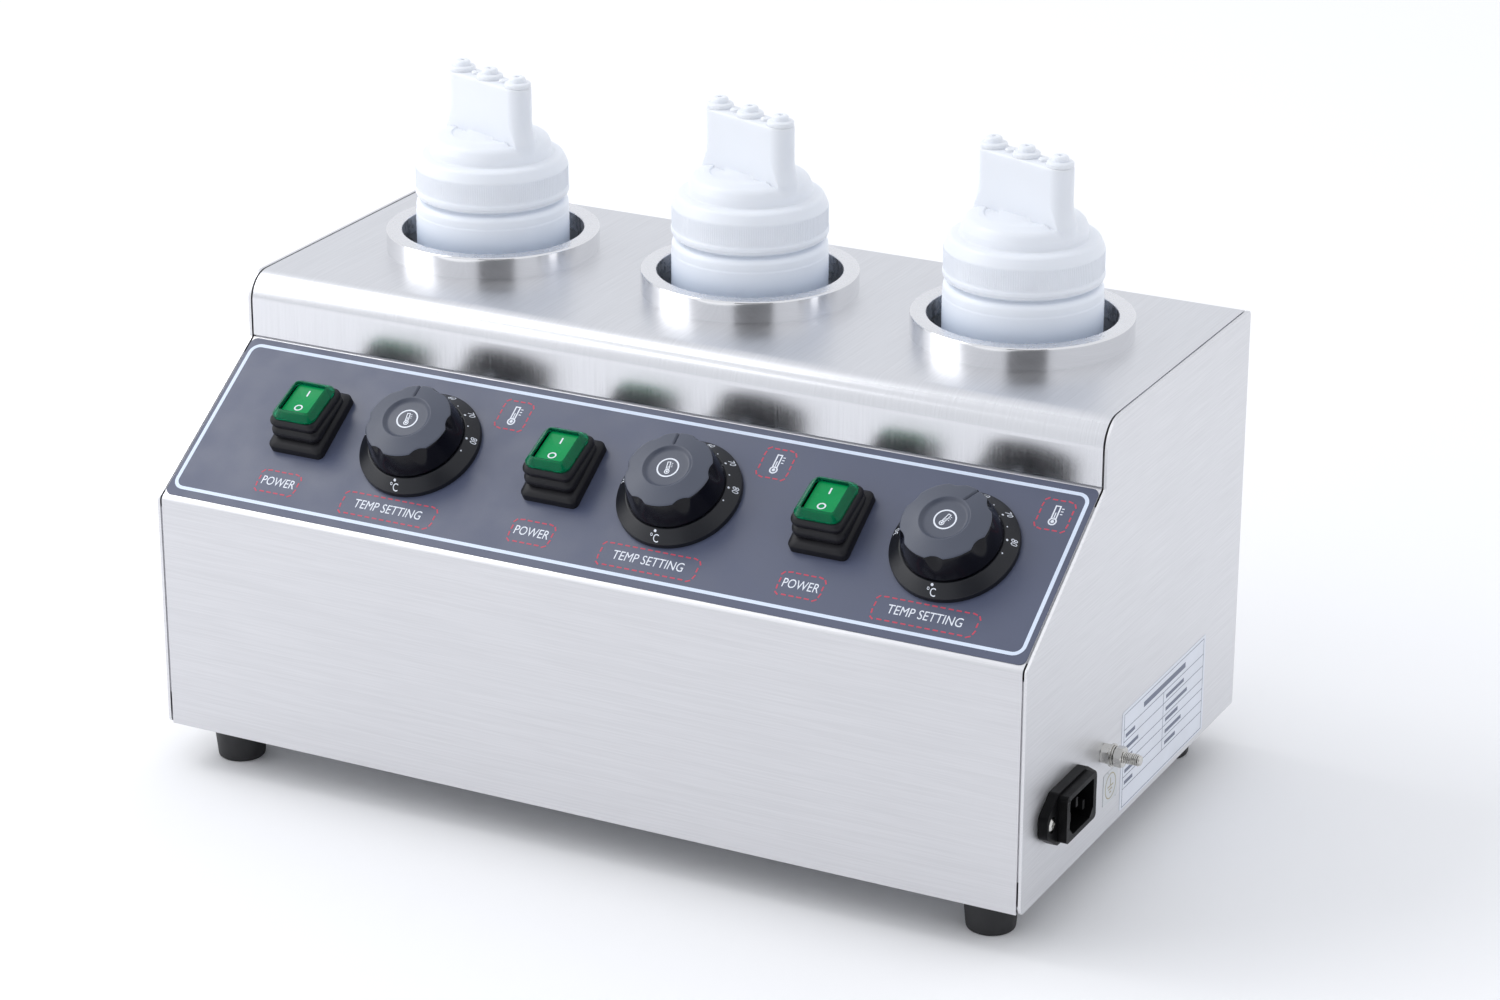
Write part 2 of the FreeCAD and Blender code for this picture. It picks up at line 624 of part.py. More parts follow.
def make_power_inlet():
    """A three-pin appliance inlet: flange with two ears, shroud, body, pins and terminals."""
    outline = [(-11.3, -14.5), (-4.5, -25), (4.5, -25), (11.3, -14.5),
               (11.3, 14.5), (4.5, 25), (-4.5, 25), (-11.3, 14.5)]
    flange = rounded_face([vector(x, y, 0) for x, y in outline], [3, 4, 4, 3, 3, 4, 4, 3])
    flange = flange.extrude(vector(0, 0, 4.2))
    shroud = rounded_box(20.4, 29.8, 4.0, 2.0, 4.2)
    body = rounded_box(20.0, 27.4, 22.0, 2.5, -22.0)
    shape = flange.fuse([shroud, body])
    low = 8.0
    high = 12.0
    chamfer = 3.6
    mouth = [vector(-low, -high, -9), vector(low - chamfer, -high, -9), vector(low, -high + chamfer, -9),
             vector(low, high - chamfer, -9), vector(low - chamfer, high, -9), vector(-low, high, -9)]
    shape = shape.cut(rounded_face(mouth, [1.2, 0.6, 0.6, 0.6, 0.6, 1.2]).extrude(vector(0, 0, 20)))
    for y in (-INLET_EAR, INLET_EAR):
        shape = shape.cut(cylinder(1.7, -1, 6, 0, y)).cut(cylinder(3.4, 2.9, 6, 0, y))
    for x, y in ((2.0, -7), (2.0, 7), (-2.0, 0)):
        pin = Part.makeBox(4.0, 2.0, 15.2, vector(x - 2.0, y - 1.0, -9.2))
        tab = Part.makeBox(4.8, 0.8, 8.2, vector(x - 2.4, y - 0.4, -30))
        shape = shape.fuse([pin, tab])
    return along_x(shape, WIDTH / 2, INLET_Y, INLET_Z)


def make_inlet_screws():
    head = turned([(0, 2.95), (2.75, 2.95), (2.75, 3.7, 0.3), (1.6, 4.5, 0.4), (0, 4.6)])
    cross = Part.makeBox(3.2, 0.7, 2, vector(-1.6, -0.35, 3.6))
    cross = cross.fuse(Part.makeBox(0.7, 3.2, 2, vector(-0.35, -1.6, 3.6)))
    screw = head.cut(cross).fuse(cylinder(1.45, -7, 2.95))
    nut = hexagon(5.5, -3.6, -1.25).cut(cylinder(1.45, -10, 10))
    screw = screw.fuse(nut)
    screws = [along_x(screw, WIDTH / 2, INLET_Y + y, INLET_Z) for y in (-INLET_EAR, INLET_EAR)]
    return Part.makeCompound(screws)


def make_earth_stud():
    """A stud with a slimmer free end, where the ring of a bonding lead goes on."""
    shank = turned([(0, -SIDE_SHEET), (STUD_RADIUS, -SIDE_SHEET), (STUD_RADIUS, STUD_END - 0.4),
                    (STUD_END_RADIUS, STUD_END), (STUD_END_RADIUS, STUD_REACH, 0.5), (0, STUD_REACH)])
    head = hexagon(8.0, -SIDE_SHEET - 3.5, -SIDE_SHEET)
    return along_x(shank.fuse(head), WIDTH / 2, STUD_Y, STUD_Z)


def make_earth_nuts():
    hole = cylinder(STUD_RADIUS, -1, 20)
    round_corners = turned([(0, 0), (4.1, 0), (4.7, 0.5), (4.7, 3.0), (4.1, 3.5), (0, 3.5)])
    nut = hexagon(8.0, 0, 3.5).common(round_corners).cut(hole)
    washer = ring(4.9, STUD_RADIUS, 3.7, 4.6)
    tooth = ring(4.3, STUD_RADIUS, 4.7, 5.4)
    pieces = [nut, washer, tooth, placed(nut, 0, 0, 5.7, 20)]
    return Part.makeCompound([along_x(piece, WIDTH / 2, STUD_Y, STUD_Z) for piece in pieces])


def make_label(y0, y1, z0, z1, corner):
    x = WIDTH / 2
    corners = [vector(x, y0, z0), vector(x, y1, z0), vector(x, y1, z1), vector(x, y0, z1)]
    return rounded_face(corners, [corner] * 4).extrude(vector(LABEL, 0, 0))


# ---- wires inside

def panel_point(u, v, height):
    y = FRONT_Y + v * math.cos(SLOPE) - height * math.sin(SLOPE)
    z = BEND_Z + v * math.sin(SLOPE) + height * math.cos(SLOPE)
    return vector(u, y, z)


def make_capillary(index):
    """The sensing tube: out of the thermostat, back to the well, with its bulb on the heater."""
    beside = 14.0
    x = station_x(index) + beside
    reach = WELL_RADIUS + WELL_WALL + HEATER + 2 * FIT_GAP + BULB_RADIUS
    y = WELL_Y - math.sqrt(reach * reach - beside * beside)
    top = 138.0
    start = panel_point(knob_u(index) + 4, KNOB_V, -26)
    below = panel_point(knob_u(index) + 4, KNOB_V, -38)
    points = [start, below, vector(x, y - 26, top), vector(x, y, top), vector(x, y, 112)]
    line = tube(points, [8.0, 20.0, 14.0], 0.9)
    bulb = turned([(0, 78), (BULB_RADIUS, 78, 1.2), (BULB_RADIUS, 114, 1.2), (0, 114)])
    return line.fuse(placed(bulb, x, y))


def make_wiring_harness():
    """The loom from the inlet along the casing, branching to each switch and heater."""
    loom_y = -66.0
    loom_z = 78.0
    block_y = WELL_Y - WELL_RADIUS - WELL_WALL - FIT_GAP - 8.4
    block_z = 102.0
    points = [vector(167.5, INLET_Y, INLET_Z), vector(150, INLET_Y, INLET_Z), vector(126, loom_y, loom_z),
              vector(switch_u(0) - 8, loom_y, loom_z)]
    loom = tube(points, [10.0, 16.0], 3.0)
    for i in range(3):
        u = switch_u(i)
        branch = tube([vector(u, loom_y, loom_z), panel_point(u, SWITCH_V, -31.0)], [], 2.2)
        x = station_x(i)
        lead_points = [vector(x, loom_y, loom_z), vector(x, -30, block_z), vector(x, block_y, block_z)]
        loom = loom.fuse([branch, tube(lead_points, [24.0], 1.8)])
    return loom.removeSplitter()


# ---- build everything

def build_casing():
    save(make_front_panel(), "front_panel")
    save(make_top_cover(), "top_cover")
    side = make_side_panel()
    stud_hole = along_x(cylinder(STUD_RADIUS + 0.2, -5, 5), WIDTH / 2, STUD_Y, STUD_Z)
    save(side.mirror(vector(0, 0, 0), vector(1, 0, 0)), "left_side_panel")
    right = side.cut(make_inlet_hole()).cut(stud_hole)
    for y in (-INLET_EAR, INLET_EAR):
        right = right.cut(along_x(cylinder(1.6, -5, 5), WIDTH / 2, INLET_Y + y, INLET_Z))
    save(right, "right_side_panel")
    save(make_base_plate(), "base_plate")
    save(make_feet(), "feet")
    save(make_underside_screws(), "underside_screws")
    save(make_overlay(), "control_overlay")
    save(make_label(-14.6, 78.0, 21.6, 65.6, 1.0), "rating_label")
    save(make_label(-33.0, -18.0, 31.0, 45.0, 0.8), "earth_symbol_label")
    save(make_power_inlet(), "power_inlet")
    save(make_inlet_screws(), "inlet_screws")
    save(make_earth_stud(), "earth_stud")
    save(make_earth_nuts(), "earth_nuts")
    save(make_wiring_harness(), "wiring_harness")


def build_station(index, name):
    x = station_x(index)
    save(placed(make_well(), x, WELL_Y), "well_" + name)
    save(placed(make_collar(), x, WELL_Y), "collar_" + name)
    save(placed(make_heater_band(), x, WELL_Y), "heater_band_" + name)
    save(placed(make_bottle(), x, WELL_Y), "bottle_" + name)
    save(placed(make_cap_seal(), x, WELL_Y), "cap_seal_" + name)
    save(placed(make_cap(), x, WELL_Y, 0, BLADE_TURN_DEG), "cap_" + name)
    u = knob_u(index)
    pointer = POINTER_DEG[index]
    save(on_panel(make_dial_bezel(), u, KNOB_V), "dial_bezel_" + name)
    save(on_panel(make_knob(), u, KNOB_V, pointer), "knob_" + name)
    save(on_panel(make_spindle(), u, KNOB_V, pointer), "knob_spindle_" + name)
    save(on_panel(make_thermostat_body(), u, KNOB_V), "thermostat_body_" + name)
    save(make_capillary(index), "thermostat_capillary_" + name)
    u = switch_u(index)
    save(on_panel(make_switch_body(), u, SWITCH_V), "switch_body_" + name)
    save(on_panel(make_boot(), u, SWITCH_V), "switch_boot_" + name)
    save(on_panel(make_rocker(), u, SWITCH_V), "switch_rocker_" + name)
    save(on_panel(make_lens(), u, SWITCH_V), "switch_lens_" + name)


os.makedirs("parts", exist_ok=True)
build_casing()
for number, station in enumerate(STATIONS):
    build_station(number, station)
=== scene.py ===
# %% [markdown]
# # A countertop warmer for three squeeze bottles
# The warmer is a folded stainless steel box with a sloping control panel. Three wells hold squeeze
# bottles of sauce, and each well has its own lit rocker switch and thermostat dial. The frame already
# holds every part at its true size and place, so this script only gives the parts their looks: it
# puts finishes on the frame's own parts, and builds a finer piece wherever a soft or round shape
# needs more than the frame shows. Every piece sits in the frame's own metres.

# %% Load the frame
import bmesh
import bpy
import json
import math
import numpy as np
from mathutils import Matrix, Vector


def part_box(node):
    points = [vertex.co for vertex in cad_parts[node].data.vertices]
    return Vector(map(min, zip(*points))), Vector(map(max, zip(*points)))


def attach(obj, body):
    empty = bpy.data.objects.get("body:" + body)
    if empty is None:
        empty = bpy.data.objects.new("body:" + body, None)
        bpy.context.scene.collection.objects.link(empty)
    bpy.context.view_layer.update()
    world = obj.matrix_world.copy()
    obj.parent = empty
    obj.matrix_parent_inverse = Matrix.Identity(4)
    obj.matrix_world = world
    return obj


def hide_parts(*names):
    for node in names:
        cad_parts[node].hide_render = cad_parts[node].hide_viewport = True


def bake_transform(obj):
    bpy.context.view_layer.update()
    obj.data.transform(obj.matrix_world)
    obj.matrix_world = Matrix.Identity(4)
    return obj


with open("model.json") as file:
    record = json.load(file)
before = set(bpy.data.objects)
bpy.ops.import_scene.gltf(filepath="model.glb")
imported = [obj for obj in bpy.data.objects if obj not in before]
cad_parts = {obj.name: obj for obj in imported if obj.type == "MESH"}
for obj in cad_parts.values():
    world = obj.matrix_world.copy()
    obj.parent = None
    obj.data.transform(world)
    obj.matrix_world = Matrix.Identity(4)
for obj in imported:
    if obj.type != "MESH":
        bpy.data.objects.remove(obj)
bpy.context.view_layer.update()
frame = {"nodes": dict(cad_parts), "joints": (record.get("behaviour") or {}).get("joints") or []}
MM = 0.001
STATIONS = ("left", "middle", "right")
NODES = frame["nodes"]
JOINTS = {joint["name"]: joint for joint in frame["joints"]}


# %% [markdown]
# ## Where things are
# The control panel slopes, so a piece on it is easiest to make flat, about its own origin, with Z
# pointing out of the panel, and then to turn into place. The slope, the knobs and the switches are
# all read from the joints of the frame: a knob turns about the panel's own normal.

# %% Places on the sloping panel
knob_joint = JOINTS["thermostat_turn_left"]
NORMAL = Vector(knob_joint["axis"]).normalized()
UPHILL = Vector((0, NORMAL.z, -NORMAL.y))
FRONT_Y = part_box("front_panel")[0].y
KNOB_V = (knob_joint["pos_m"][1] - FRONT_Y) / UPHILL.y
BEND = Vector(knob_joint["pos_m"]) - UPHILL * KNOB_V
BEND.x = sum(corner.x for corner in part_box("front_panel")) / 2
FILM = 0.3 * MM
PRINT = 0.04 * MM


def panel_matrix(u, v, height=0.0, turn=0.0):
    """Takes a piece made flat about the origin to the panel: u along X, v up the slope."""
    turned = Matrix((Vector((1, 0, 0)), UPHILL, NORMAL)).transposed().to_4x4()
    place = BEND + Vector((u, 0, 0)) + UPHILL * v + NORMAL * height
    return Matrix.Translation(place) @ turned @ Matrix.Rotation(math.radians(turn), 4, "Z")


def panel_place(joint_name):
    """The (u, v) of a joint that sits on the panel."""
    point = Vector(JOINTS[joint_name]["pos_m"]) - BEND
    return point.x, point.dot(UPHILL)


def well_centre(name):
    low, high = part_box("well_" + name)
    return Vector(((low.x + high.x) / 2, (low.y + high.y) / 2, 0))


KNOBS = {name: panel_place("thermostat_turn_" + name) for name in STATIONS}
SWITCHES = {name: panel_place("power_rock_" + name) for name in STATIONS}
print("slope in degrees", round(math.degrees(math.acos(NORMAL.z)), 2))
print("knob places in mm", {n: (round(u / MM, 1), round(v / MM, 1)) for n, (u, v) in KNOBS.items()})


# %% [markdown]
# ## Camera, floor and light
# The camera stands to the right of the warmer and a little above it, far away with a long lens, so
# that the box keeps its proportions. The light is a white room: a pale floor, a bright sky all
# round, a large soft lamp on the left, which makes the left end of each face lighter than the
# right, and a smaller lamp higher up. A dark card is the unlit end of the room.

# %% Camera and room
scene = bpy.context.scene
scene.view_settings.view_transform = "Standard"


def add_object(name, data):
    thing = bpy.data.objects.new(name, data)
    scene.collection.objects.link(thing)
    return thing


def aim(place, target):
    """The turn that makes a camera or a lamp look from one point at another."""
    return (Vector(target) - Vector(place)).to_track_quat("-Z", "Y")


def add_camera():
    data = bpy.data.cameras.new("camera")
    data.sensor_width = 36.0
    data.lens = 100.34
    camera = add_object("camera", data)
    place = Vector((0.7702 + BEND.x, -1.4650, 0.7676))
    target = Vector((0.01965 + BEND.x, 0.00505, 0.11954))
    roll = Matrix.Rotation(math.radians(0.13), 4, "Z")
    camera.location = place
    camera.rotation_mode = "QUATERNION"
    camera.rotation_quaternion = (aim(place, target).to_matrix().to_4x4() @ roll).to_quaternion()
    scene.camera = camera


def add_sheet(name, corners, finish, colour, roughness):
    """One flat sheet of the room, in a plain finish."""
    mesh = bpy.data.meshes.new(name)
    mesh.from_pydata(corners, [], [(0, 1, 2, 3)])
    material = bpy.data.materials.new(finish)
    material.use_nodes = True
    shader = material.node_tree.nodes["Principled BSDF"]
    shader.inputs["Base Color"].default_value = (*colour, 1)
    shader.inputs["Roughness"].default_value = roughness
    mesh.materials.append(material)
    return add_object(name, mesh)


def add_floor():
    half = 6.0
    corners = [(-half, -half, 0), (half, -half, 0), (half, half, 0), (-half, half, 0)]
    floor = add_sheet("floor", corners, "floor_paper", (0.97, 0.97, 0.98), 0.9)


def add_dark_card():
    """The unlit end of the room behind the camera, which polished steel shows as dark streaks."""
    left, right = 0.5, 2.2
    left_y, right_y = -2.55, -1.75
    low, high = 0.3, 2.0
    corners = [(left, left_y, low), (right, right_y, low), (right, right_y, high), (left, left_y, high)]
    card = add_sheet("dark_card", corners, "black_cloth", (0.02, 0.02, 0.022), 0.5)


def add_lamp(name, place, target, side, power):
    """A square soft lamp."""
    data = bpy.data.lights.new(name, "AREA")
    data.shape = "RECTANGLE"
    data.size = side
    data.size_y = side
    data.energy = power
    lamp = add_object(name, data)
    lamp.location = place
    lamp.rotation_mode = "QUATERNION"
    lamp.rotation_quaternion = aim(place, target)


def add_sky():
    world = bpy.data.worlds.new("white_room")
    world.use_nodes = True
    background = world.node_tree.nodes["Background"]
    background.inputs["Color"].default_value = (0.94, 0.96, 1.0, 1)
    background.inputs["Strength"].default_value = 0.97
    scene.world = world


add_camera()
add_floor()
add_sky()
add_lamp("key", (-1.9, -1.1, 1.3), (0, 0, 0.1), 1.8, 15)
add_lamp("top", (-1.3, -0.1, 1.8), (0, 0, 0.15), 0.9, 7)
add_dark_card()
print("camera, floor, lamps and dark card are in place")


# %% [markdown]
# ## Small helpers for materials
# A finish is a Principled shader fed by a few procedural patterns. All patterns read Object
# coordinates, which are the frame's own metres, so a scale of 1000 means features about 1 mm apart.

# %% Material helpers
def new_material(name, colour, roughness, metallic=0.0, **sockets):
    material = bpy.data.materials.new(name)
    material.use_nodes = True
    shader = material.node_tree.nodes["Principled BSDF"]
    shader.inputs["Base Color"].default_value = (*colour, 1)
    shader.inputs["Roughness"].default_value = roughness
    shader.inputs["Metallic"].default_value = metallic
    for socket, value in sockets.items():
        shader.inputs[socket.replace("_", " ")].default_value = value
    return material


def shader_of(material):
    return material.node_tree.nodes["Principled BSDF"]


def add_node(material, kind, **inputs):
    node = material.node_tree.nodes.new(kind)
    for socket, value in inputs.items():
        node.inputs[socket.replace("_", " ")].default_value = value
    return node


def join(material, output, target):
    material.node_tree.links.new(output, target)


def feed(material, output, socket):
    """Links a pattern into one of the shader's own sockets."""
    join(material, output, shader_of(material).inputs[socket])


def noise(material, scale, stretch=(1, 1, 1), detail=2.0):
    """Noise on Object coordinates; stretch above 1 packs the pattern tighter along that axis."""
    coordinate = add_node(material, "ShaderNodeTexCoord")
    mapping = add_node(material, "ShaderNodeMapping", Scale=stretch)
    pattern = add_node(material, "ShaderNodeTexNoise", Scale=scale, Detail=detail)
    join(material, coordinate.outputs["Object"], mapping.inputs["Vector"])
    join(material, mapping.outputs["Vector"], pattern.inputs["Vector"])
    return pattern.outputs["Fac"]


def height_ramp(material, low_z, high_z, **ends):
    """Climbs from 0 to 1, or between the ends given, from one height to another."""
    coordinate = add_node(material, "ShaderNodeTexCoord")
    split = add_node(material, "ShaderNodeSeparateXYZ")
    ramp = add_node(material, "ShaderNodeMapRange", From_Min=low_z, From_Max=high_z, **ends)
    join(material, coordinate.outputs["Object"], split.inputs["Vector"])
    join(material, split.outputs["Z"], ramp.inputs["Value"])
    return ramp


def to_range(material, value, low, high, band=(0.3, 0.7)):
    """Maps the middle band of a pattern to a range of values."""
    node = add_node(material, "ShaderNodeMapRange", From_Min=band[0], From_Max=band[1],
                    To_Min=low, To_Max=high)
    join(material, value, node.inputs["Value"])
    return node.outputs["Result"]


def shades(colour, darker, lighter):
    """A colour made a little darker and a little lighter."""
    return [c * darker for c in colour], [min(c * lighter, 1) for c in colour]


def tint(material, value, dark, light):
    """Mixes two colours by a pattern and feeds the shader's base colour."""
    mix = material.node_tree.nodes.new("ShaderNodeMix")
    mix.data_type = "RGBA"
    mix.inputs["A"].default_value = (*dark, 1)
    mix.inputs["B"].default_value = (*light, 1)
    join(material, value, mix.inputs["Factor"])
    feed(material, mix.outputs["Result"], "Base Color")


def bump(material, value, strength, distance):
    node = add_node(material, "ShaderNodeBump", Strength=strength, Distance=distance)
    join(material, value, node.inputs["Height"])
    feed(material, node.outputs["Normal"], "Normal")


# %% [markdown]
# ## Brushed stainless steel
# A belt leaves long fine scratches in one direction, so the noise is packed tight across the
# scratches and drawn out along them. The streaks drive three things: how rough the metal is, a
# little colour, and a very shallow bump. Each sheet was cut from stock and folded, so its grain
# runs its own way: along X on the front sheet, along Y on the top and on the sides.

# %% Steel finishes
TIGHT = 60.0
CLOUD_SHARE = 0.35


def brushed_steel(name, across, colour, rough=(0.30, 0.44)):
    """across names the axes that the scratches are packed tight along."""
    material = new_material(name, colour, rough[0], 1.0)
    stretch = [TIGHT if axis in across else 1.0 for axis in "XYZ"]
    streaks = noise(material, 26.0, stretch, 3.0)
    fine = noise(material, 75.0, stretch)
    cloudy = noise(material, 9.0)
    tint(material, to_range(material, streaks, 0, 1), *shades(colour, 0.955, 1.03))
    both = material.node_tree.nodes.new("ShaderNodeMath")
    both.operation = "MULTIPLY_ADD"
    both.inputs[1].default_value = CLOUD_SHARE
    join(material, cloudy, both.inputs[0])
    join(material, fine, both.inputs[2])
    feed(material, to_range(material, both.outputs["Value"], *rough, band=(0.45, 0.9)), "Roughness")
    bump(material, fine, 0.16, 0.04 * MM)
    return material


def shinier_below(material, z, share):
    """Makes a metal smoother below a height, where a fold has stretched its grain."""
    ramp = height_ramp(material, z - 1 * MM, z, To_Min=share, To_Max=1.0)
    scaled = material.node_tree.nodes.new("ShaderNodeMath")
    scaled.operation = "MULTIPLY"
    rough_before = shader_of(material).inputs["Roughness"].links[0].from_socket
    join(material, rough_before, scaled.inputs[0])
    join(material, ramp.outputs["Result"], scaled.inputs[1])
    feed(material, scaled.outputs["Value"], "Roughness")


def turned_steel(name, colour, rough, depth):
    """Metal cut on a lathe: faint rings packed tight along the turning axis, Z."""
    material = new_material(name, colour, rough, 1.0)
    rings = noise(material, 30.0, (1, 1, 90.0))
    spots = noise(material, 300.0)
    feed(material, to_range(material, spots, rough * 0.8, rough * 1.3), "Roughness")
    tint(material, rings, *shades(colour, 0.93, 1.0))
    bump(material, rings, depth, 0.03 * MM)
    return material


STEEL = {
    "front": brushed_steel("steel_front_grain_x", "YZ", (0.665, 0.665, 0.685)),
    "top": brushed_steel("steel_top_grain_y", "X", (0.715, 0.72, 0.745)),
    "side": brushed_steel("steel_side_grain_y", "Z", (0.735, 0.737, 0.755), (0.34, 0.5)),
    "base": brushed_steel("steel_base", "YZ", (0.55, 0.56, 0.58), (0.4, 0.55)),
    "well": turned_steel("steel_well", (0.60, 0.59, 0.58), 0.3, 0.15),
    "polished": turned_steel("steel_polished", (0.83, 0.83, 0.84), 0.07, 0.02),
    "satin": turned_steel("steel_satin_rim", (0.82, 0.82, 0.84), 0.26, 0.01),
    "screw": turned_steel("steel_screws", (0.66, 0.65, 0.62), 0.24, 0.1),
    "spindle": turned_steel("steel_spindle", (0.5, 0.5, 0.52), 0.35, 0.1),
}
TOP_FOLD_Z = 0.1985
shinier_below(STEEL["top"], TOP_FOLD_Z, 0.6)
print("steel finishes", sorted(STEEL))


# %% [markdown]
# ## Plastics, rubber and print
# Moulded plastic is never quite even: its tool leaves a fine grain, which is a bump here, and
# handling leaves patches that are a little glossier. Polythene lets light in and scatters it, which
# is subsurface scattering. The polythene also carries painted light. A faint painted glow stands in
# for light coming through the plastic. A colour changes with height: painted shade, darker and cooler
# low on the bottle where the well keeps the light out, and a little lighter low on the cap.

# %% Plastic, rubber and print finishes
def moulded(name, colour, roughness, grain=0.25, grain_scale=900.0, **sockets):
    material = new_material(name, colour, roughness, **sockets)
    patches = noise(material, 60.0, detail=3.0)
    feed(material, to_range(material, patches, roughness * 0.85, roughness * 1.2), "Roughness")
    tint(material, patches, *shades(colour, 0.9, 1.08))
    bump(material, noise(material, grain_scale), grain, 0.06 * MM)
    return material


def polythene(name, colour, painted_low_colour, low_z, high_z, painted_glow):
    """Milky plastic with painted light: a colour that changes with height from low_z to high_z, and a faint
    painted glow in the low colour.
    """
    # The emission is a painted glow: it stands in for light through the plastic and lifts the shade in
    # hollows.
    material = new_material(name, colour, 0.34, Subsurface_Weight=0.3, Subsurface_Scale=0.003,
                            Emission_Color=(*painted_low_colour, 1), Emission_Strength=painted_glow,
                            Subsurface_Radius=(0.9, 0.95, 1.0))
    # Painted shade on the bottle, darker low down where the well keeps the light out; on the cap, lighter low
    # down.
    ramp = height_ramp(material, low_z, high_z)
    ramp.interpolation_type = "SMOOTHSTEP"
    tint(material, ramp.outputs["Result"], painted_low_colour, colour)
    bump(material, noise(material, 110.0, (1, 1, 0.4), 3.0), 0.12, 0.2 * MM)
    return material


FINISH = {
    "film": moulded("overlay_film", (0.072, 0.086, 0.146), 0.36, 0.35, 1100.0, Specular_IOR_Level=0.6),
    "knob": moulded("knob_plastic", (0.004, 0.004, 0.007), 0.16, 0.12, 1300.0, Specular_IOR_Level=0.22),
    "knob_top": moulded("knob_satin_top", (0.054, 0.064, 0.096), 0.42, 0.22, 1500.0,
                        Specular_IOR_Level=0.65),
    "dial": moulded("dial_plastic", (0.008, 0.009, 0.013), 0.36, 0.5, 1500.0, Specular_IOR_Level=0.4),
    "rubber": moulded("boot_rubber", (0.008, 0.008, 0.011), 0.45, 0.35, 700.0, Specular_IOR_Level=0.3),
    "foot": moulded("foot_rubber", (0.018, 0.018, 0.020), 0.6, 0.5, 500.0),
    "nylon": moulded("inlet_nylon", (0.003, 0.003, 0.0035), 0.42, 0.5, 1200.0, Specular_IOR_Level=0.12),
    "case": moulded("thermostat_case", (0.62, 0.56, 0.45), 0.5),
    "copper": moulded("capillary_copper", (0.72, 0.40, 0.25), 0.3, 0.1, 600.0, Metallic=1.0),
    "heater": moulded("heater_silicone", (0.45, 0.10, 0.04), 0.6, 0.6, 400.0),
    "wire": moulded("wire_sleeve", (0.03, 0.03, 0.035), 0.5),
    "seal": moulded("seal_silicone", (0.80, 0.82, 0.85), 0.5),
    "rocker": moulded("rocker_green", (0.002, 0.27, 0.08), 0.25, 0.05, 500.0, Specular_IOR_Level=0.15,
                      Emission_Color=(0.0, 0.55, 0.14, 1), Emission_Strength=0.05),
    "cover": moulded("cover_green", (0.0, 0.34, 0.16), 0.12, 0.04, 500.0, Specular_IOR_Level=0.2,
                     Transmission_Weight=0.75, IOR=1.3),
    "white": moulded("print_white", (0.80, 0.84, 0.92), 0.4, 0.1),
    "pale": moulded("print_pale_blue", (0.70, 0.79, 0.95), 0.4, 0.1),
    "red": moulded("print_red", (0.56, 0.045, 0.09), 0.45, 0.1),
    "label": moulded("label_film", (0.76, 0.79, 0.86), 0.4, 0.1, 500.0),
    "ink": moulded("label_ink", (0.17, 0.19, 0.26), 0.5, 0.1),
    "sticker": moulded("sticker_film", (0.62, 0.64, 0.66), 0.3, 0.1, 500.0),
    "gold": moulded("sticker_ink", (0.42, 0.38, 0.26), 0.5, 0.1),
    # The bottle and the cap carry painted light: a faint painted glow (the last value) and colour painted by
    # height.
    "bottle": polythene("bottle_polythene", (0.86, 0.90, 0.97), (0.66, 0.74, 0.88), 0.204, 0.2225, 0.05),
    "cap": polythene("cap_polythene", (0.77, 0.795, 0.84), (0.80, 0.83, 0.885), 0.224, 0.262, 0.05),
    # The grip ribs give off a faint painted glow, an emission that stands in for light through the plastic.
    "rib": moulded("cap_ribs", (0.83, 0.86, 0.915), 0.4, 0.1, 500.0,
                   Emission_Color=(0.84, 0.87, 0.93, 1), Emission_Strength=0.04),
}
print("other finishes", sorted(FINISH))


# %% [markdown]
# ## Helpers for shapes
# Most round pieces come from an outline with rounded corners. One helper rounds the corners of an
# outline. A second stretches a skin over rows of points, which makes anything from a lathe-turned
# ring to a knob with flutes, because each row may have its own shape.

# %% Shape helpers
def rounded(outline, steps):
    """(a, b) points from (a, b) or (a, b, corner radius) points of an open outline."""
    points = []
    for i, corner in enumerate(outline):
        here = Vector(corner[:2])
        radius = corner[2] if len(corner) > 2 else 0
        if radius <= 0 or i == 0 or i == len(outline) - 1:
            points.append(here)
            continue
        before = (Vector(outline[i - 1][:2]) - here).normalized()
        after = (Vector(outline[i + 1][:2]) - here).normalized()
        half = before.angle(after) / 2
        centre = here + (before + after).normalized() * (radius / math.sin(half))
        first = here + before * (radius / math.tan(half)) - centre
        last = here + after * (radius / math.tan(half)) - centre
        for k in range(steps + 1):
            arm = first.lerp(last, k / steps).normalized() * radius
            points.append(centre + arm)
    return [(p.x, p.y) for p in points]


def skin(rows, ends):
    """Faces over rows of equally many points. ends is loop, poles or flat."""
    count = len(rows[0])
    points = [tuple(p) for row in rows for p in row]
    faces = []
    last = len(rows) if ends == "loop" else len(rows) - 1
    for r in range(last):
        a = r * count
        b = ((r + 1) % len(rows)) * count
        for i in range(count):
            j = (i + 1) % count
            faces.append((a + i, a + j, b + j, b + i))
    if ends == "poles":
        for start, order in ((0, 1), (last * count, -1)):
            points.append(tuple(np.mean(np.array(points[start:start + count]), axis=0)))
            pole = len(points) - 1
            for i in range(count):
                j = (i + 1) % count
                faces.append((start + j, start + i, pole)[::order])
    if ends == "flat":
        faces.append(tuple(range(count))[::-1])
        faces.append(tuple(range(last * count, last * count + count)))
    return points, faces


def circle(radius, z, segments):
    """A row of points round Z."""
    angles = [2 * math.pi * i / segments for i in range(segments)]
    return [(radius * math.cos(a), radius * math.sin(a), z) for a in angles]


def lathe(outline, segments, ends="loop"):
    """A solid turned about Z from (radius, z) points. With poles, the first and last are closed."""
    return skin([circle(r, z, segments) for r, z in outline], ends)


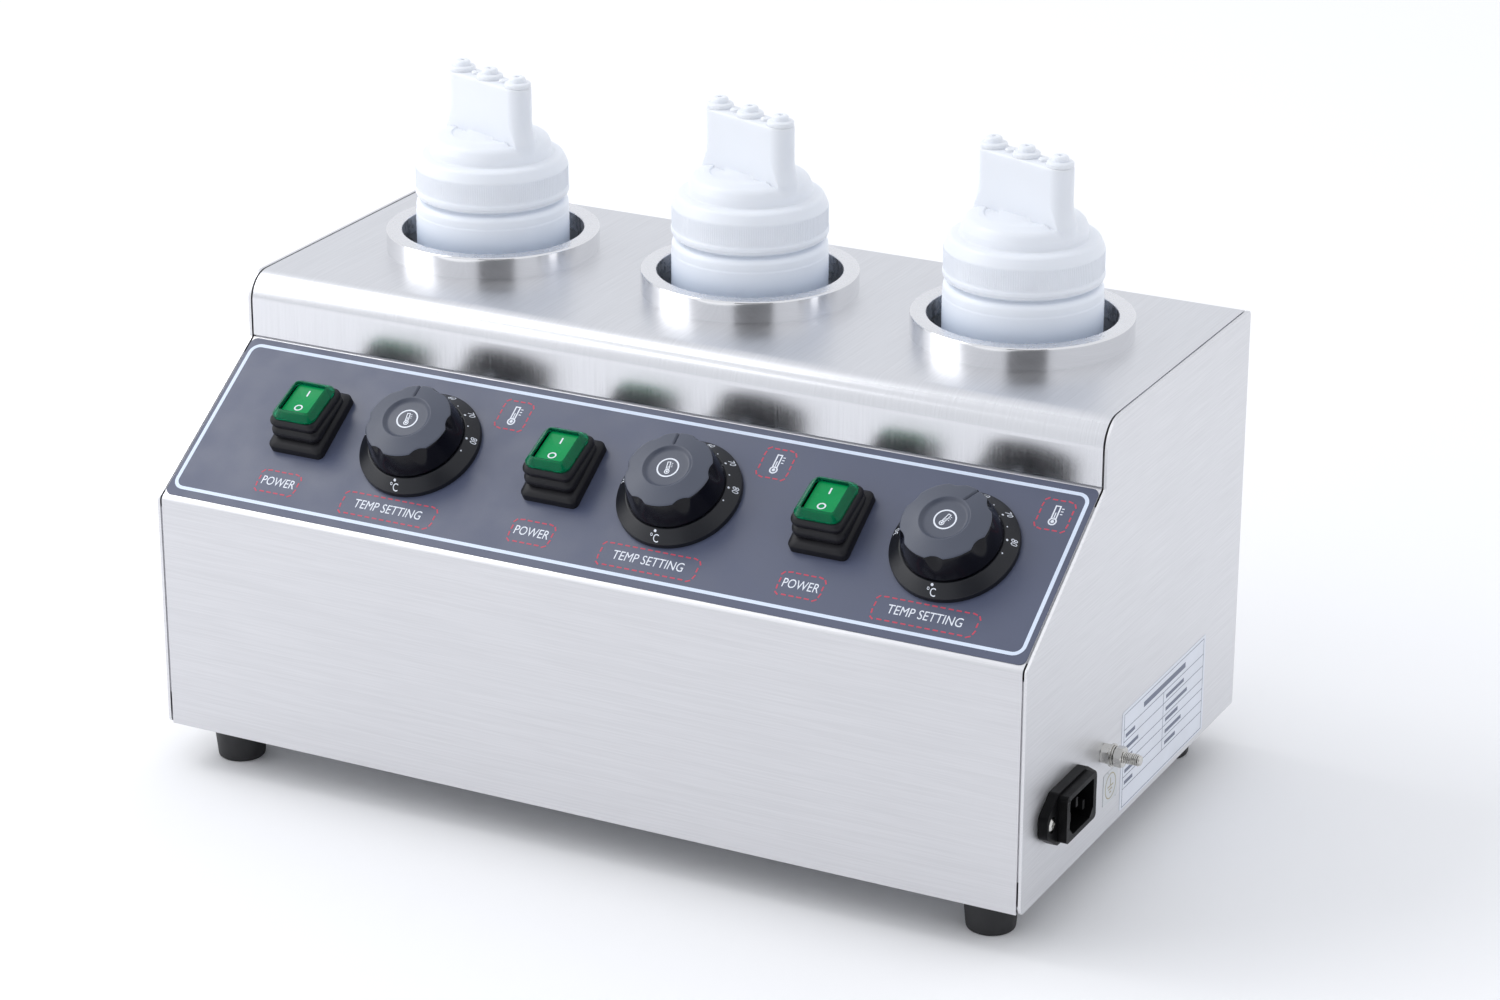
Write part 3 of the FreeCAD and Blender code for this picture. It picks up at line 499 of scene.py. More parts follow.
def make_piece(name, shells, materials, matrix=None, sharp=40.0):
    """One object from (points, faces) shells, each closed. Shell k wears materials[k]."""
    mesh = bpy.data.meshes.new(name)
    points = []
    faces = []
    wears = []
    for k, (shell_points, shell_faces) in enumerate(shells):
        first = len(points)
        points += shell_points
        outward = signed_volume(shell_points, shell_faces) > 0
        for face in shell_faces:
            ring = face if outward else face[::-1]
            faces.append([first + i for i in ring])
            wears.append(min(k, len(materials) - 1))
    mesh.from_pydata(points, [], faces)
    for material in materials:
        mesh.materials.append(material)
    mesh.polygons.foreach_set("material_index", wears)
    if matrix is not None:
        mesh.transform(matrix)
    mesh.shade_smooth()
    mesh.set_sharp_from_angle(angle=math.radians(sharp))
    mesh.validate()
    return add_object(name, mesh)


def signed_volume(points, faces):
    p = [Vector(q) for q in points]
    total = 0.0
    for face in faces:
        for k in range(1, len(face) - 1):
            total += p[face[0]].dot(p[face[k]].cross(p[face[k + 1]]))
    return total / 6


def settle(piece, body, slot, *nodes):
    """Rides a finished piece on its body and hides the frame's parts that it stands for; slot is not used."""
    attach(piece, body)
    if nodes:
        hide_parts(*nodes)
    print(piece.name, "rides on", body, "faces", len(piece.data.polygons))
    return piece


# %% [markdown]
# ## Geometry Nodes for what repeats
# Three small trees do the repeating work: copies turned about an axis, for ribs and scale dots;
# dashes round a rounded frame, for the printed boxes; and a ridge wound in a helix, for screw
# threads. Each tree has named inputs, and ends by realizing its instances and setting the
# material. The result is turned into a plain mesh at once.

# %% Tree helpers
def new_tree(name, inputs):
    """A Geometry Nodes tree with named inputs of (name, kind, default), and those inputs' sockets."""
    tree = bpy.data.node_groups.new(name, "GeometryNodeTree")
    for way in ("OUTPUT", "INPUT"):
        tree.interface.new_socket(name="Geometry", in_out=way, socket_type="NodeSocketGeometry")
    for label, kind, value in inputs:
        socket = tree.interface.new_socket(name=label, in_out="INPUT", socket_type="NodeSocket" + kind)
        if value is not None:
            socket.default_value = value
    given = tree.nodes.new("NodeGroupInput").outputs
    return tree, given


def tree_node(tree, kind, links=(), **settings):
    """Adds a node, sets its properties, and links (input name, output socket) pairs into it."""
    node = tree.nodes.new(kind)
    for key, value in settings.items():
        setattr(node, key, value)
    for name, value in links:
        socket = node.inputs[name]
        if isinstance(value, bpy.types.NodeSocket):
            tree.links.new(value, socket)
        else:
            socket.default_value = value
    return node


def end_tree(tree, geometry, material_socket):
    """Every tree ends the same way, because the export keeps neither instances nor slots."""
    real = tree_node(tree, "GeometryNodeRealizeInstances", [("Geometry", geometry)])
    worn = tree_node(tree, "GeometryNodeSetMaterial",
                     [("Geometry", real.outputs["Geometry"]), ("Material", material_socket)])
    tree_node(tree, "NodeGroupOutput", [("Geometry", worn.outputs["Geometry"])])
    return tree


def copies_on_points(tree, points, shape, rotation):
    """Puts a copy of a shape on each point, turned by the rotation."""
    copies = tree_node(tree, "GeometryNodeInstanceOnPoints",
                       [("Points", points), ("Instance", shape), ("Rotation", rotation)])
    return copies.outputs["Instances"]


def grow(name, tree, matrix, **values):
    """Runs a tree with its inputs set, and returns the result as a plain mesh object."""
    seed = add_object(name + "_seed", bpy.data.meshes.new(name + "_seed"))
    modifier = seed.modifiers.new("grow", "NODES")
    modifier.node_group = tree
    for item in tree.interface.items_tree:
        key = item.name.replace(" ", "_")
        if item.in_out == "INPUT" and key in values:
            modifier[item.identifier] = values[key]
    graph = bpy.context.evaluated_depsgraph_get()
    mesh = bpy.data.meshes.new_from_object(seed.evaluated_get(graph))
    bpy.data.objects.remove(seed)
    mesh.name = name
    mesh.transform(matrix)
    return add_object(name, mesh)


def pattern_shape(name, shells):
    """A hidden shape for a tree to copy. It is removed once the copies are made."""
    shape = make_piece(name, shells, [FINISH["white"]])
    shape.hide_render = True
    return shape


def drop(shape):
    bpy.data.objects.remove(shape)


# %% The three trees
def make_turned_copies():
    """Copies of a shape that already stands off the axis, turned about Z by even steps."""
    tree, given = new_tree("turned_copies", [("Shape", "Object", None), ("Count", "Int", 12),
                                             ("Start", "Float", 0.0), ("Step", "Float", 0.1),
                                             ("Material", "Material", None)])
    line = tree_node(tree, "GeometryNodeMeshLine", [("Count", given["Count"]), ("Offset", (0, 0, 0))])
    index = tree_node(tree, "GeometryNodeInputIndex")
    angle = tree_node(tree, "ShaderNodeMath", operation="MULTIPLY_ADD")
    for k, value in enumerate((index.outputs["Index"], given["Step"], given["Start"])):
        tree.links.new(value, angle.inputs[k])
    turn = tree_node(tree, "ShaderNodeCombineXYZ", [("Z", angle.outputs["Value"])])
    shape = tree_node(tree, "GeometryNodeObjectInfo", [("Object", given["Shape"])])
    copies = copies_on_points(tree, line.outputs["Mesh"], shape.outputs["Geometry"], turn.outputs["Vector"])
    return end_tree(tree, copies, given["Material"])


def make_dashed_frame():
    """Short flat dashes along a rectangle with rounded corners."""
    tree, given = new_tree("dashed_frame", [("Width", "Float", 0.04), ("Height", "Float", 0.01),
                                            ("Corner", "Float", 0.0015), ("Dash", "Float", 0.0022),
                                            ("Line", "Float", 0.0007), ("Thickness", "Float", 0.00004),
                                            ("Count", "Int", 20), ("Material", "Material", None)])
    box = tree_node(tree, "GeometryNodeCurvePrimitiveQuadrilateral",
                    [("Width", given["Width"]), ("Height", given["Height"])])
    soft = tree_node(tree, "GeometryNodeFilletCurve",
                     [("Curve", box.outputs["Curve"]), ("Radius", given["Corner"])])
    soft.mode = "POLY"
    soft.inputs["Count"].default_value = 8
    points = tree_node(tree, "GeometryNodeResampleCurve",
                       [("Curve", soft.outputs["Curve"]), ("Count", given["Count"])])
    tangent = tree_node(tree, "GeometryNodeInputTangent")
    turn = tree_node(tree, "FunctionNodeAlignRotationToVector", [("Vector", tangent.outputs["Tangent"])],
                     axis="X")
    size = tree_node(tree, "ShaderNodeCombineXYZ",
                     [("X", given["Dash"]), ("Y", given["Line"]), ("Z", given["Thickness"])])
    dash = tree_node(tree, "GeometryNodeMeshCube", [("Size", size.outputs["Vector"])])
    copies = copies_on_points(tree, points.outputs["Curve"], dash.outputs["Mesh"], turn.outputs["Rotation"])
    return end_tree(tree, copies, given["Material"])


def make_thread():
    """A ridge of three-cornered section wound round Z."""
    tree, given = new_tree("thread", [("Radius", "Float", 0.0025), ("Turns", "Float", 8.0),
                                      ("Length", "Float", 0.006), ("Ridge", "Float", 0.0004),
                                      ("Material", "Material", None)])
    helix = tree_node(tree, "GeometryNodeCurveSpiral",
                      [("Resolution", 40), ("Rotations", given["Turns"]), ("Start Radius", given["Radius"]),
                       ("End Radius", given["Radius"]), ("Height", given["Length"])])
    section = tree_node(tree, "GeometryNodeCurvePrimitiveCircle",
                        [("Resolution", 3), ("Radius", given["Ridge"])])
    ridge = tree_node(tree, "GeometryNodeCurveToMesh",
                      [("Curve", helix.outputs["Curve"]), ("Profile Curve", section.outputs["Curve"]),
                       ("Fill Caps", True)])
    return end_tree(tree, ridge.outputs["Mesh"], given["Material"])


TURNED_COPIES = make_turned_copies()
DASHED_FRAME = make_dashed_frame()
THREAD = make_thread()
print("trees", [tree.name for tree in (TURNED_COPIES, DASHED_FRAME, THREAD)])


# %% [markdown]
# ## Finishes for the frame's own parts
# The sheets, fasteners and inner parts already have the right shape. They get a finish, and a
# narrow bevel where real edges catch the light. The frame's meshes are loose triangles, so a Weld
# modifier joins them first; a modifier leaves the frame's own mesh as it was.

# %% Dress the frame's parts
EDGE_ANGLE = math.radians(28)


def dress(node, material, bevel=0.0):
    part = NODES[node]
    part.data.materials.clear()
    part.data.materials.append(material)
    part.data.polygons.foreach_set("use_smooth", [True] * len(part.data.polygons))
    weld = part.modifiers.new("weld", "WELD")
    weld.merge_threshold = 0.002 * MM
    if bevel:
        round_off = part.modifiers.new("bevel", "BEVEL")
        round_off.limit_method = "ANGLE"
        round_off.angle_limit = EDGE_ANGLE
        round_off.width = bevel * MM
        round_off.segments = 2
    split = part.modifiers.new("edges", "EDGE_SPLIT")
    split.split_angle = EDGE_ANGLE
    even = part.modifiers.new("even_shading", "WEIGHTED_NORMAL")
    even.weight = 100


dress("front_panel", STEEL["front"], 0.15)
dress("top_cover", STEEL["top"], 0.15)
dress("left_side_panel", STEEL["side"], 0.2)
dress("right_side_panel", STEEL["side"], 0.2)
dress("base_plate", STEEL["base"])
dress("feet", FINISH["foot"], 0.5)
dress("underside_screws", STEEL["screw"])
dress("control_overlay", FINISH["film"])
dress("rating_label", FINISH["label"])
dress("earth_symbol_label", FINISH["sticker"])
dress("power_inlet", FINISH["nylon"], 0.35)
dress("inlet_screws", STEEL["screw"], 0.08)
dress("earth_stud", STEEL["screw"], 0.1)
dress("earth_nuts", STEEL["screw"], 0.12)
dress("wiring_harness", FINISH["wire"])
for name in STATIONS:
    dress("well_" + name, STEEL["well"])
    dress("heater_band_" + name, FINISH["heater"])
    dress("thermostat_body_" + name, FINISH["case"])
    dress("thermostat_capillary_" + name, FINISH["copper"])
    dress("knob_spindle_" + name, STEEL["spindle"])
    dress("switch_body_" + name, FINISH["nylon"])
    dress("cap_seal_" + name, FINISH["seal"])
print("dressed frame parts", sum(1 for part in NODES.values() if part.modifiers))


# %% [markdown]
# ## Collars
# The rim of each well is a turned ring. Its outside is polished like a mirror and its top is satin,
# so it is made as one closed ring whose faces wear two finishes. Many segments matter here, because
# a polished curve shows every facet.

# %% Build the collars
def build_collar(name):
    low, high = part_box("collar_" + name)
    centre = well_centre(name)
    outer = (high.x - low.x) / 2
    inner = outer - 7.05 * MM
    step = outer - 1.5 * MM
    top = high.z
    base = low.z
    foot = base + 1.0 * MM
    outline = rounded([(inner, foot), (step, foot), (step, base), (outer, base), (outer, top, 0.8 * MM),
                       (inner, top, 1.1 * MM), (inner, foot)], 8)
    shell = lathe(outline[:-1], 256)
    piece = make_piece("collar_ring_" + name, [shell], [STEEL["polished"], STEEL["satin"]],
                       Matrix.Translation(centre), 30)
    for face in piece.data.polygons:
        radius = math.hypot(face.center.x - centre.x, face.center.y - centre.y)
        flat_top = face.center.z > top - 0.25 * MM and radius < outer - 0.5 * MM
        face.material_index = 1 if flat_top or radius < outer - 2 * MM else 0
    return settle(piece, "root", "polished_steel", "collar_" + name)


for name in STATIONS:
    build_collar(name)


# %% [markdown]
# ## Bottles
# A squeeze bottle is blown polythene, turned in form: a foot with a pushed-in base, a straight wall,
# a tight shoulder and a threaded neck under the cap. The thread is a helix from the thread tree.

# %% Build the bottles
def build_bottle(name):
    low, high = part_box("bottle_" + name)
    centre = well_centre(name)
    out = (high.x - low.x) / 2
    neck = 29.5 * MM
    wall = 1.3 * MM
    base = low.z
    top = high.z
    shoulder = top - 17.0 * MM
    inside = out - wall
    outline = rounded([(12 * MM, base + 3 * MM), (24 * MM, base + 3 * MM, 1.5 * MM),
                       (26 * MM, base, 0.7 * MM), (out, base, 5 * MM),
                       (out, shoulder - 5.4 * MM, 0.8 * MM),
                       (out - 0.2 * MM, shoulder - 4.6 * MM, 1.2 * MM), (out - 0.2 * MM, shoulder, 2.6 * MM),
                       (neck, shoulder + 0.8 * MM, 0.8 * MM), (neck, top, 0.3 * MM),
                       (neck - wall, top, 0.3 * MM), (neck - wall, shoulder - 0.6 * MM, 1.2 * MM),
                       (inside, shoulder - 1.8 * MM, 2 * MM), (inside, base + wall, 3.8 * MM),
                       (25.5 * MM, base + wall, 0.5 * MM), (24.5 * MM, base + 4.2 * MM, 0.5 * MM),
                       (12 * MM, base + 4.2 * MM)], 6)
    shell = lathe(outline, 160, "poles")
    piece = make_piece("squeeze_bottle_" + name, [shell], [FINISH["bottle"]], Matrix.Translation(centre), 50)
    thread_place = Matrix.Translation(centre + Vector((0, 0, top - 11.5 * MM)))
    thread = grow("bottle_thread_" + name, THREAD, thread_place, Radius=neck, Turns=1.6, Length=8 * MM,
                  Ridge=0.7 * MM, Material=FINISH["bottle"])
    settle(thread, "bottle_" + name, "bottle_polythene")
    return settle(piece, "bottle_" + name, "bottle_polythene", "bottle_" + name)


for name in STATIONS:
    build_bottle(name)


# %% [markdown]
# ## Caps
# The cap is one soft moulding: a ribbed collar, a round shoulder, a low dome with a lip and a
# pocket, and a spout housing with flat sides and round ends that stands in the pocket. A skin over
# level outlines fits it best: each outline is the dome's circle, or the housing's where that
# reaches further out, rounded where they meet. The housing's ends spread on the way down. The three
# spout tips and the two pins between them are turned, and the grip ribs are turned copies.

# %% Outline of the cap at one level
CAP_TOP = 276.2
FLAT_Z = 252.0
FLARE_TOP = 262.0
FLARE = 1.8
BLADE_HALF = 6.1
BLADE_ENDS = 18.3
BLADE_TURN = -20.0
TIP_PITCH = 18.6
EVEN_ANGLES = 220
END_ANGLES = 45


def smooth_low(a, b, soft):
    """The smaller of two values, rounded where they meet."""
    blend = max(soft - abs(a - b), 0) / soft
    return min(a, b) - blend * blend * soft / 4


def smooth_high(a, b, soft):
    return -smooth_low(-a, -b, soft)


def blade_radius(angle, spread):
    """The spout housing's outline in mm: two flat sides, and round ends moved outwards by spread."""
    half = BLADE_HALF + spread
    side = max(abs(math.sin(angle)), 1e-6)
    along = abs(math.cos(angle))
    flat = min(BLADE_HALF, half) / side
    if half / side * along < BLADE_ENDS:
        return flat
    bulge = math.sqrt(max(half * half - (BLADE_ENDS * side) ** 2, 0))
    return min(BLADE_ENDS * along + bulge, flat)


def flare(z):
    """How far the housing's ends have spread by the height z on the way down into the dome."""
    if z <= FLAT_Z:
        return FLARE
    return FLARE * (max(FLARE_TOP - z, 0) / (FLARE_TOP - FLAT_Z)) ** 2


def cap_angles():
    """Even angles for the dome, and some more crowded where the housing's round ends are."""
    even = [2 * math.pi * i / EVEN_ANGLES for i in range(EVEN_ANGLES)]
    ends = []
    for i in range(END_ANGLES):
        round_end = math.radians(-90 + 180 * (i + 0.5) / END_ANGLES)
        tip = math.atan2(BLADE_HALF * math.sin(round_end), BLADE_ENDS + BLADE_HALF * math.cos(round_end))
        ends += [tip % (2 * math.pi), tip + math.pi]
    return sorted(even + ends)


ANGLES = cap_angles()


def cap_row(z, reach):
    """A row of points at height z; reach gives the radius in mm at an angle."""
    return [(reach(a) * math.cos(a) * MM, reach(a) * math.sin(a) * MM, z * MM) for a in ANGLES]


def dome_point(angle, radius, z, buried_z):
    """A point of the dome, or of the housing's outline where that reaches further out."""
    blade = blade_radius(angle, FLARE)
    reach = smooth_high(radius, blade, 1.0)
    height = min(z, buried_z) if blade > radius - 0.4 else z
    return reach * math.cos(angle) * MM, reach * math.sin(angle) * MM, height * MM


def cap_rows():
    """Rows from the top of the housing down its sides, over the pocket and down the dome."""
    rows = []
    crown = ((0, -5.4), (0, -2.6), (0, -1.2), (0.08, -0.68), (0.3, -0.3), (0.65, -0.08), (1.1, 0.0))
    for down, spread in crown:
        rows.append(cap_row(CAP_TOP - down, lambda a: blade_radius(a, spread)))
    for z in list(np.linspace(273, 262, 5)) + list(np.linspace(261, 252.7, 9)):
        rows.append(cap_row(float(z), lambda a: blade_radius(a, flare(z))))
    pocket = FLAT_Z - 0.5
    dome = rounded([(11.0, pocket), (16.6, pocket, 0.4), (17.3, FLAT_Z + 0.2, 0.6), (19.4, FLAT_Z, 2.0),
                    (24.7, 250.4, 4.0), (26.3, 246.6, 4.0), (26.6, 243.3, 1.0), (31.1, 242.9, 2.6),
                    (33.25, 238.1, 3.4), (33.25, 228.4)], 7)
    for k, (r, z) in enumerate(dome[:-1]):
        rows.append([dome_point(a, r, z, pocket - 0.02 * k) for a in ANGLES])
    return rows


# %% Build the caps
def cap_skin():
    """The whole cap but its tips and ribs, closed underneath."""
    lower = rounded([(33.25, 230.0), (33.25, 228.4), (33.62, 227.9, 0.5), (33.62, 226.4, 0.5),
                     (33.2, 226.0, 0.4), (33.2, 225.05, 0.5), (30.5, 225.05, 0.4), (30.4, 239.0, 0.5),
                     (26.0, 241.6, 1.0), (24.8, 244.0, 2.0), (15.0, 250.2, 2.0), (6.0, 250.4)], 5)
    rows = cap_rows() + [cap_row(z, lambda a: r) for r, z in lower[1:]]
    return skin(rows, "poles")


def on_housing(outline, segments, x):
    """A piece turned from (radius, height above the cap's top) in mm, moved along the housing."""
    points, faces = lathe([(r * MM, h * MM) for r, h in outline], segments)
    return [(px + x * MM, py, pz) for px, py, pz in points], faces


def spout_tip(x):
    """One stepped tip that is cut open at the size wanted, with its bore."""
    z = CAP_TOP
    outline = rounded([(0.9, z - 0.8), (5.1, z - 0.8), (5.7, z + 0.1, 0.4), (5.7, z + 2.0, 0.9),
                       (3.55, z + 2.15, 0.35), (3.4, z + 4.5, 1.2), (1.1, z + 4.5, 0.3), (0.9, z + 3.6)], 5)
    return on_housing(outline, 64, x)


def pin(x):
    """A small moulding pin between two tips."""
    z = CAP_TOP
    return on_housing([(0.2, z - 0.6), (2.1, z - 0.6), (2.1, z + 0.9), (1.7, z + 1.2), (0.2, z + 1.2)], 32, x)


def build_cap(name):
    turn = Matrix.Rotation(math.radians(BLADE_TURN), 4, "Z")
    place = Matrix.Translation(well_centre(name)) @ turn
    shells = [cap_skin()] + [spout_tip(x) for x in (-TIP_PITCH, 0, TIP_PITCH)]
    shells += [pin(x) for x in (-TIP_PITCH / 2, TIP_PITCH / 2)]
    piece = make_piece("spout_cap_" + name, shells, [FINISH["cap"]], place, 55)
    settle(piece, "cap_" + name, "cap_polythene", "cap_" + name)
    count = 210
    rib = rib_shape()
    ribs = grow("cap_ribs_" + name, TURNED_COPIES, place, Shape=rib, Count=count, Start=0.0,
                Step=2 * math.pi / count, Material=FINISH["rib"])
    drop(rib)
    settle(ribs, "cap_" + name, "cap_polythene")


def rib_shape():
    """One grip rib, standing off the axis at the collar's wall."""
    inner = 33.1 * MM
    outer = 33.34 * MM
    rows = []
    for z, half in ((228.9, 0.08), (229.6, 0.24), (236.2, 0.24), (237.6, 0.08)):
        wide = half * MM
        rows.append([(inner, -wide, z * MM), (outer, -wide / 2, z * MM), (outer, wide / 2, z * MM),
                     (inner, wide, z * MM)])
    return pattern_shape("rib", [skin(rows, "flat")])


for name in STATIONS:
    build_cap(name)


# %% [markdown]
# ## Dial plates
# The dial under each knob is a turned plastic cone. Its scale is printed: numbers from 30 to 80
# with their tops outwards, a dot for each, a smaller dot halfway, and one dot for off. The dots are
# turned copies of one small disc lying on the cone, and the numbers are text made into meshes.

# %% Build the dial plates
CONE = ((26.5, 2.5), (21.4, 6.3))
CONE_TILT = math.atan2(CONE[1][1] - CONE[0][1], CONE[0][0] - CONE[1][0])
CAPITAL_SHARE = 0.7


def on_cone(clockwise, radius, lift=0.03, flip=False):
    """A matrix that lays a flat mark on the cone; clockwise is its angle from the top of the dial."""
    slope = (CONE[1][1] - CONE[0][1]) / (CONE[1][0] - CONE[0][0])
    height = CONE[0][1] + slope * (radius - CONE[0][0]) + lift
    spin = Matrix.Rotation(math.radians(-clockwise), 4, "Z")
    out = Matrix.Translation((0, radius * MM, height * MM))
    tip = Matrix.Rotation(-CONE_TILT, 4, "X")
    face = Matrix.Rotation(math.pi if flip else 0, 4, "Z")
    return spin @ out @ tip @ face


def flat_text(name, words, height, width_share, material, matrix):
    """Text as a thin raised mesh centred on its matrix's origin."""
    curve = bpy.data.curves.new(name, "FONT")
    curve.body = words
    curve.size = height / CAPITAL_SHARE
    curve.align_x = "CENTER"
    curve.align_y = "CENTER"
    curve.extrude = PRINT / 2
    curve.resolution_u = 3
    helper = add_object(name + "_text", curve)
    mesh = bpy.data.meshes.new_from_object(helper.evaluated_get(bpy.context.evaluated_depsgraph_get()))
    bpy.data.objects.remove(helper)
    mesh.name = name
    mesh.transform(matrix @ Matrix.Diagonal((width_share, 1, 1, 1)))
    mesh.materials.clear()
    mesh.materials.append(material)
    return add_object(name, mesh)


def join_pieces(name, pieces):
    """Joins small meshes into one piece that keeps the first one's finish."""
    merged = bmesh.new()
    for piece in pieces:
        merged.from_mesh(piece.data)
    mesh = bpy.data.meshes.new(name)
    merged.to_mesh(mesh)
    merged.free()
    for material in pieces[0].data.materials:
        mesh.materials.append(material)
    for piece in pieces:
        bpy.data.objects.remove(piece)
    return add_object(name, mesh)


def disc_shape(radius, matrix):
    points, faces = skin([circle(radius * MM, z, 16) for z in (0, PRINT)], "flat")
    return [tuple(matrix @ Vector(p)) for p in points], faces


def flat_ring(inner, outer, segments, height=0.05):
    """A thin printed ring, in mm."""
    outline = ((inner, 0), (outer, 0), (outer, height), (inner, height))
    return lathe([(r * MM, h * MM) for r, h in outline], segments)


def build_dial(name):
    u, v = KNOBS[name]
    place = panel_matrix(u, v)
    outline = rounded([(6.4, 0.3), (26.5, 0.3), (26.5, 2.5, 0.5), (21.4, 6.3, 0.6), (20.4, 6.3, 0.5),
                       (19.6, 3.4, 0.5), (6.4, 3.4), (6.4, 0.3)], 6)[:-1]
    shell = lathe([(r * MM, h * MM) for r, h in outline], 160)
    piece = make_piece("dial_plate_" + name, [shell], [FINISH["dial"]], place, 35)
    settle(piece, "root", "dial_plastic", "dial_bezel_" + name)
    marks = []
    ten_degrees = 33.6
    for k in range(6):
        marks.append(flat_text("number", str(30 + 10 * k), 2.9 * MM, 0.8, FINISH["white"],
                               place @ on_cone(-90 + k * ten_degrees, 24.45)))
    marks.append(flat_text("degree", "°C", 3.4 * MM, 0.8, FINISH["white"],
                           place @ on_cone(180, 24.6, flip=True)))
    for radius, count, start in ((0.5, 6, -90.0), (0.33, 6, -90 + ten_degrees / 2), (0.6, 1, 180.0)):
        shape = pattern_shape("dot", [disc_shape(radius, on_cone(0, 22.1, 0.01))])
        marks.append(grow("dots", TURNED_COPIES, place, Shape=shape, Count=count,
                          Start=-math.radians(start), Step=-math.radians(ten_degrees),
                          Material=FINISH["white"]))
        drop(shape)
    settle(join_pieces("dial_scale_" + name, marks), "root", "label_film")


for name in STATIONS:
    build_dial(name)


# %% [markdown]
# ## Knobs
# A knob is a tapered drum with six thumb flutes, a dished top and a pointer notch. It is a skin over
# rows round its axis. The flutes are cut by a tilted round tool, so they are deep at the top edge
# and run out near the foot: the row's radius is the smaller of the drum's and the tool's. The sign on
# the dish, a thermometer in a ring, is flat and generic.

# %% Build the knobs
KNOB_POINTS = 360


def flute_radius(angle, height):
    """How far the nearest flute lets the drum reach, in mm, at an angle from the pointer."""
    nearest = math.radians(60) * round((angle - math.radians(30)) / math.radians(60)) + math.radians(30)
    off = angle - nearest
    tool = 7.6
    middle = 25.0 + 0.414 * (18.0 - height)
    reach = middle * math.sin(off)
    if abs(reach) >= tool:
        return 99.0
    return middle * math.cos(off) - math.sqrt(tool * tool - reach * reach)


def knob_row(radius, height):
    """One row of the knob; the notch for the pointer is pressed into the top."""
    row = []
    for i in range(KNOB_POINTS):
        angle = 2 * math.pi * i / KNOB_POINTS
        r = smooth_low(radius, flute_radius(angle, height), 0.5) if radius > 12 else radius
        x = r * math.sin(angle)
        y = r * math.cos(angle)
        depth = 0.9 * max(1 - abs(x) / 0.75, 0) if y > 10.9 and height > 15 else 0
        row.append((x * MM, y * MM, (height - depth) * MM))
    return row


def knob_skin():
    outline = rounded([(18.3, 7.0), (20.9, 7.0, 0.3), (18.5, 18.2, 1.3), (10.35, 20.45, 0.6),
                       (8.9, 19.12, 1.6), (0.4, 19.12)], 7)
    dense = []
    for (r0, h0), (r1, h1) in zip(outline, outline[1:]):
        steps = max(1, int(math.hypot(r1 - r0, h1 - h0) / 0.8))
        dense += [(r0 + (r1 - r0) * k / steps, h0 + (h1 - h0) * k / steps) for k in range(steps)]
    dense.append(outline[-1])
    rows = [knob_row(r, h) for r, h in dense]
    inside = [(14.4, 14.3), (6.1, 14.4), (6.0, 7.0), (3.1, 7.0), (3.1, 15.0)]
    rows = [knob_row(r, h) for r, h in reversed(inside)] + rows
    return skin(rows, "poles")


def thermometer(matrix, size, name):
    """A flat thermometer sign in outline: a round bulb, a tube, a line of liquid and three marks."""
    low = -0.30 * size * MM
    points, faces = flat_ring(0.115 * size, 0.175 * size, 40, 0.04)
    marks = [([(x, y + low, z) for x, y, z in points], faces),
             disc_shape(size * 0.07, Matrix.Translation((0, low, 0)))]
    for line in ((-0.12, -0.17, -0.065, 0.40), (0.065, -0.17, 0.12, 0.40), (-0.12, 0.40, 0.12, 0.45),
                 (-0.02, -0.24, 0.02, 0.12), (0.17, 0.05, 0.27, 0.09), (0.17, 0.18, 0.27, 0.22),
                 (0.17, 0.31, 0.27, 0.35)):
        marks.append(bar(*(side * size for side in line)))
    return make_piece(name, marks, [FINISH["white"]], matrix)


def bar(x0, y0, x1, y1):
    """A thin printed bar between two corners, in mm."""
    corners = [(x0, y0), (x1, y0), (x1, y1), (x0, y1)]
    return skin([[(x * MM, y * MM, z) for x, y in corners] for z in (0, PRINT)], "flat")


def build_knob(name):
    u, v = KNOBS[name]
    low_limit = JOINTS["thermostat_turn_" + name]["range_deg"][0]
    pointer = -94.3 - low_limit
    place = panel_matrix(u, v, 0, pointer)
    piece = make_piece("thermostat_knob_" + name, [knob_skin()], [FINISH["knob"], FINISH["knob_top"]],
                       place, 38)
    for face in piece.data.polygons:
        high_up = (face.center - BEND).dot(NORMAL) > 16 * MM
        face.material_index = 1 if face.normal.dot(NORMAL) > 0.6 and high_up else 0
    settle(piece, "knob_" + name, "knob_plastic", "knob_" + name)
    lift = place @ Matrix.Translation((0, 0, 19.16 * MM))
    ring = make_piece("ring", [flat_ring(4.1, 4.75, 64)], [FINISH["white"]], lift)
    sign = thermometer(lift, 6.6, "sign")
    settle(join_pieces("knob_sign_" + name, [ring, sign]), "knob_" + name, "label_film")

for name in STATIONS:
    build_knob(name)


# %% [markdown]
# ## Switches
# Each rocker sits under a rubber boot with a clear green cover. The boot is a skin over rounded
# rectangles: a thick base that stays on the panel and two folds tipped the way the rocker rests. The
# boot is made in that rest shape and fixed in place; it rides on no body.

# %% Build the boots and covers
PIVOT_HEIGHT = 4.0
DISH_HALF = 8.5
CORNER_STEPS = 8
REST_TILT = 9.2
COVER_WIDTH = 20.8
COVER_LENGTH = 23.6
COVER_TOP = 17.2


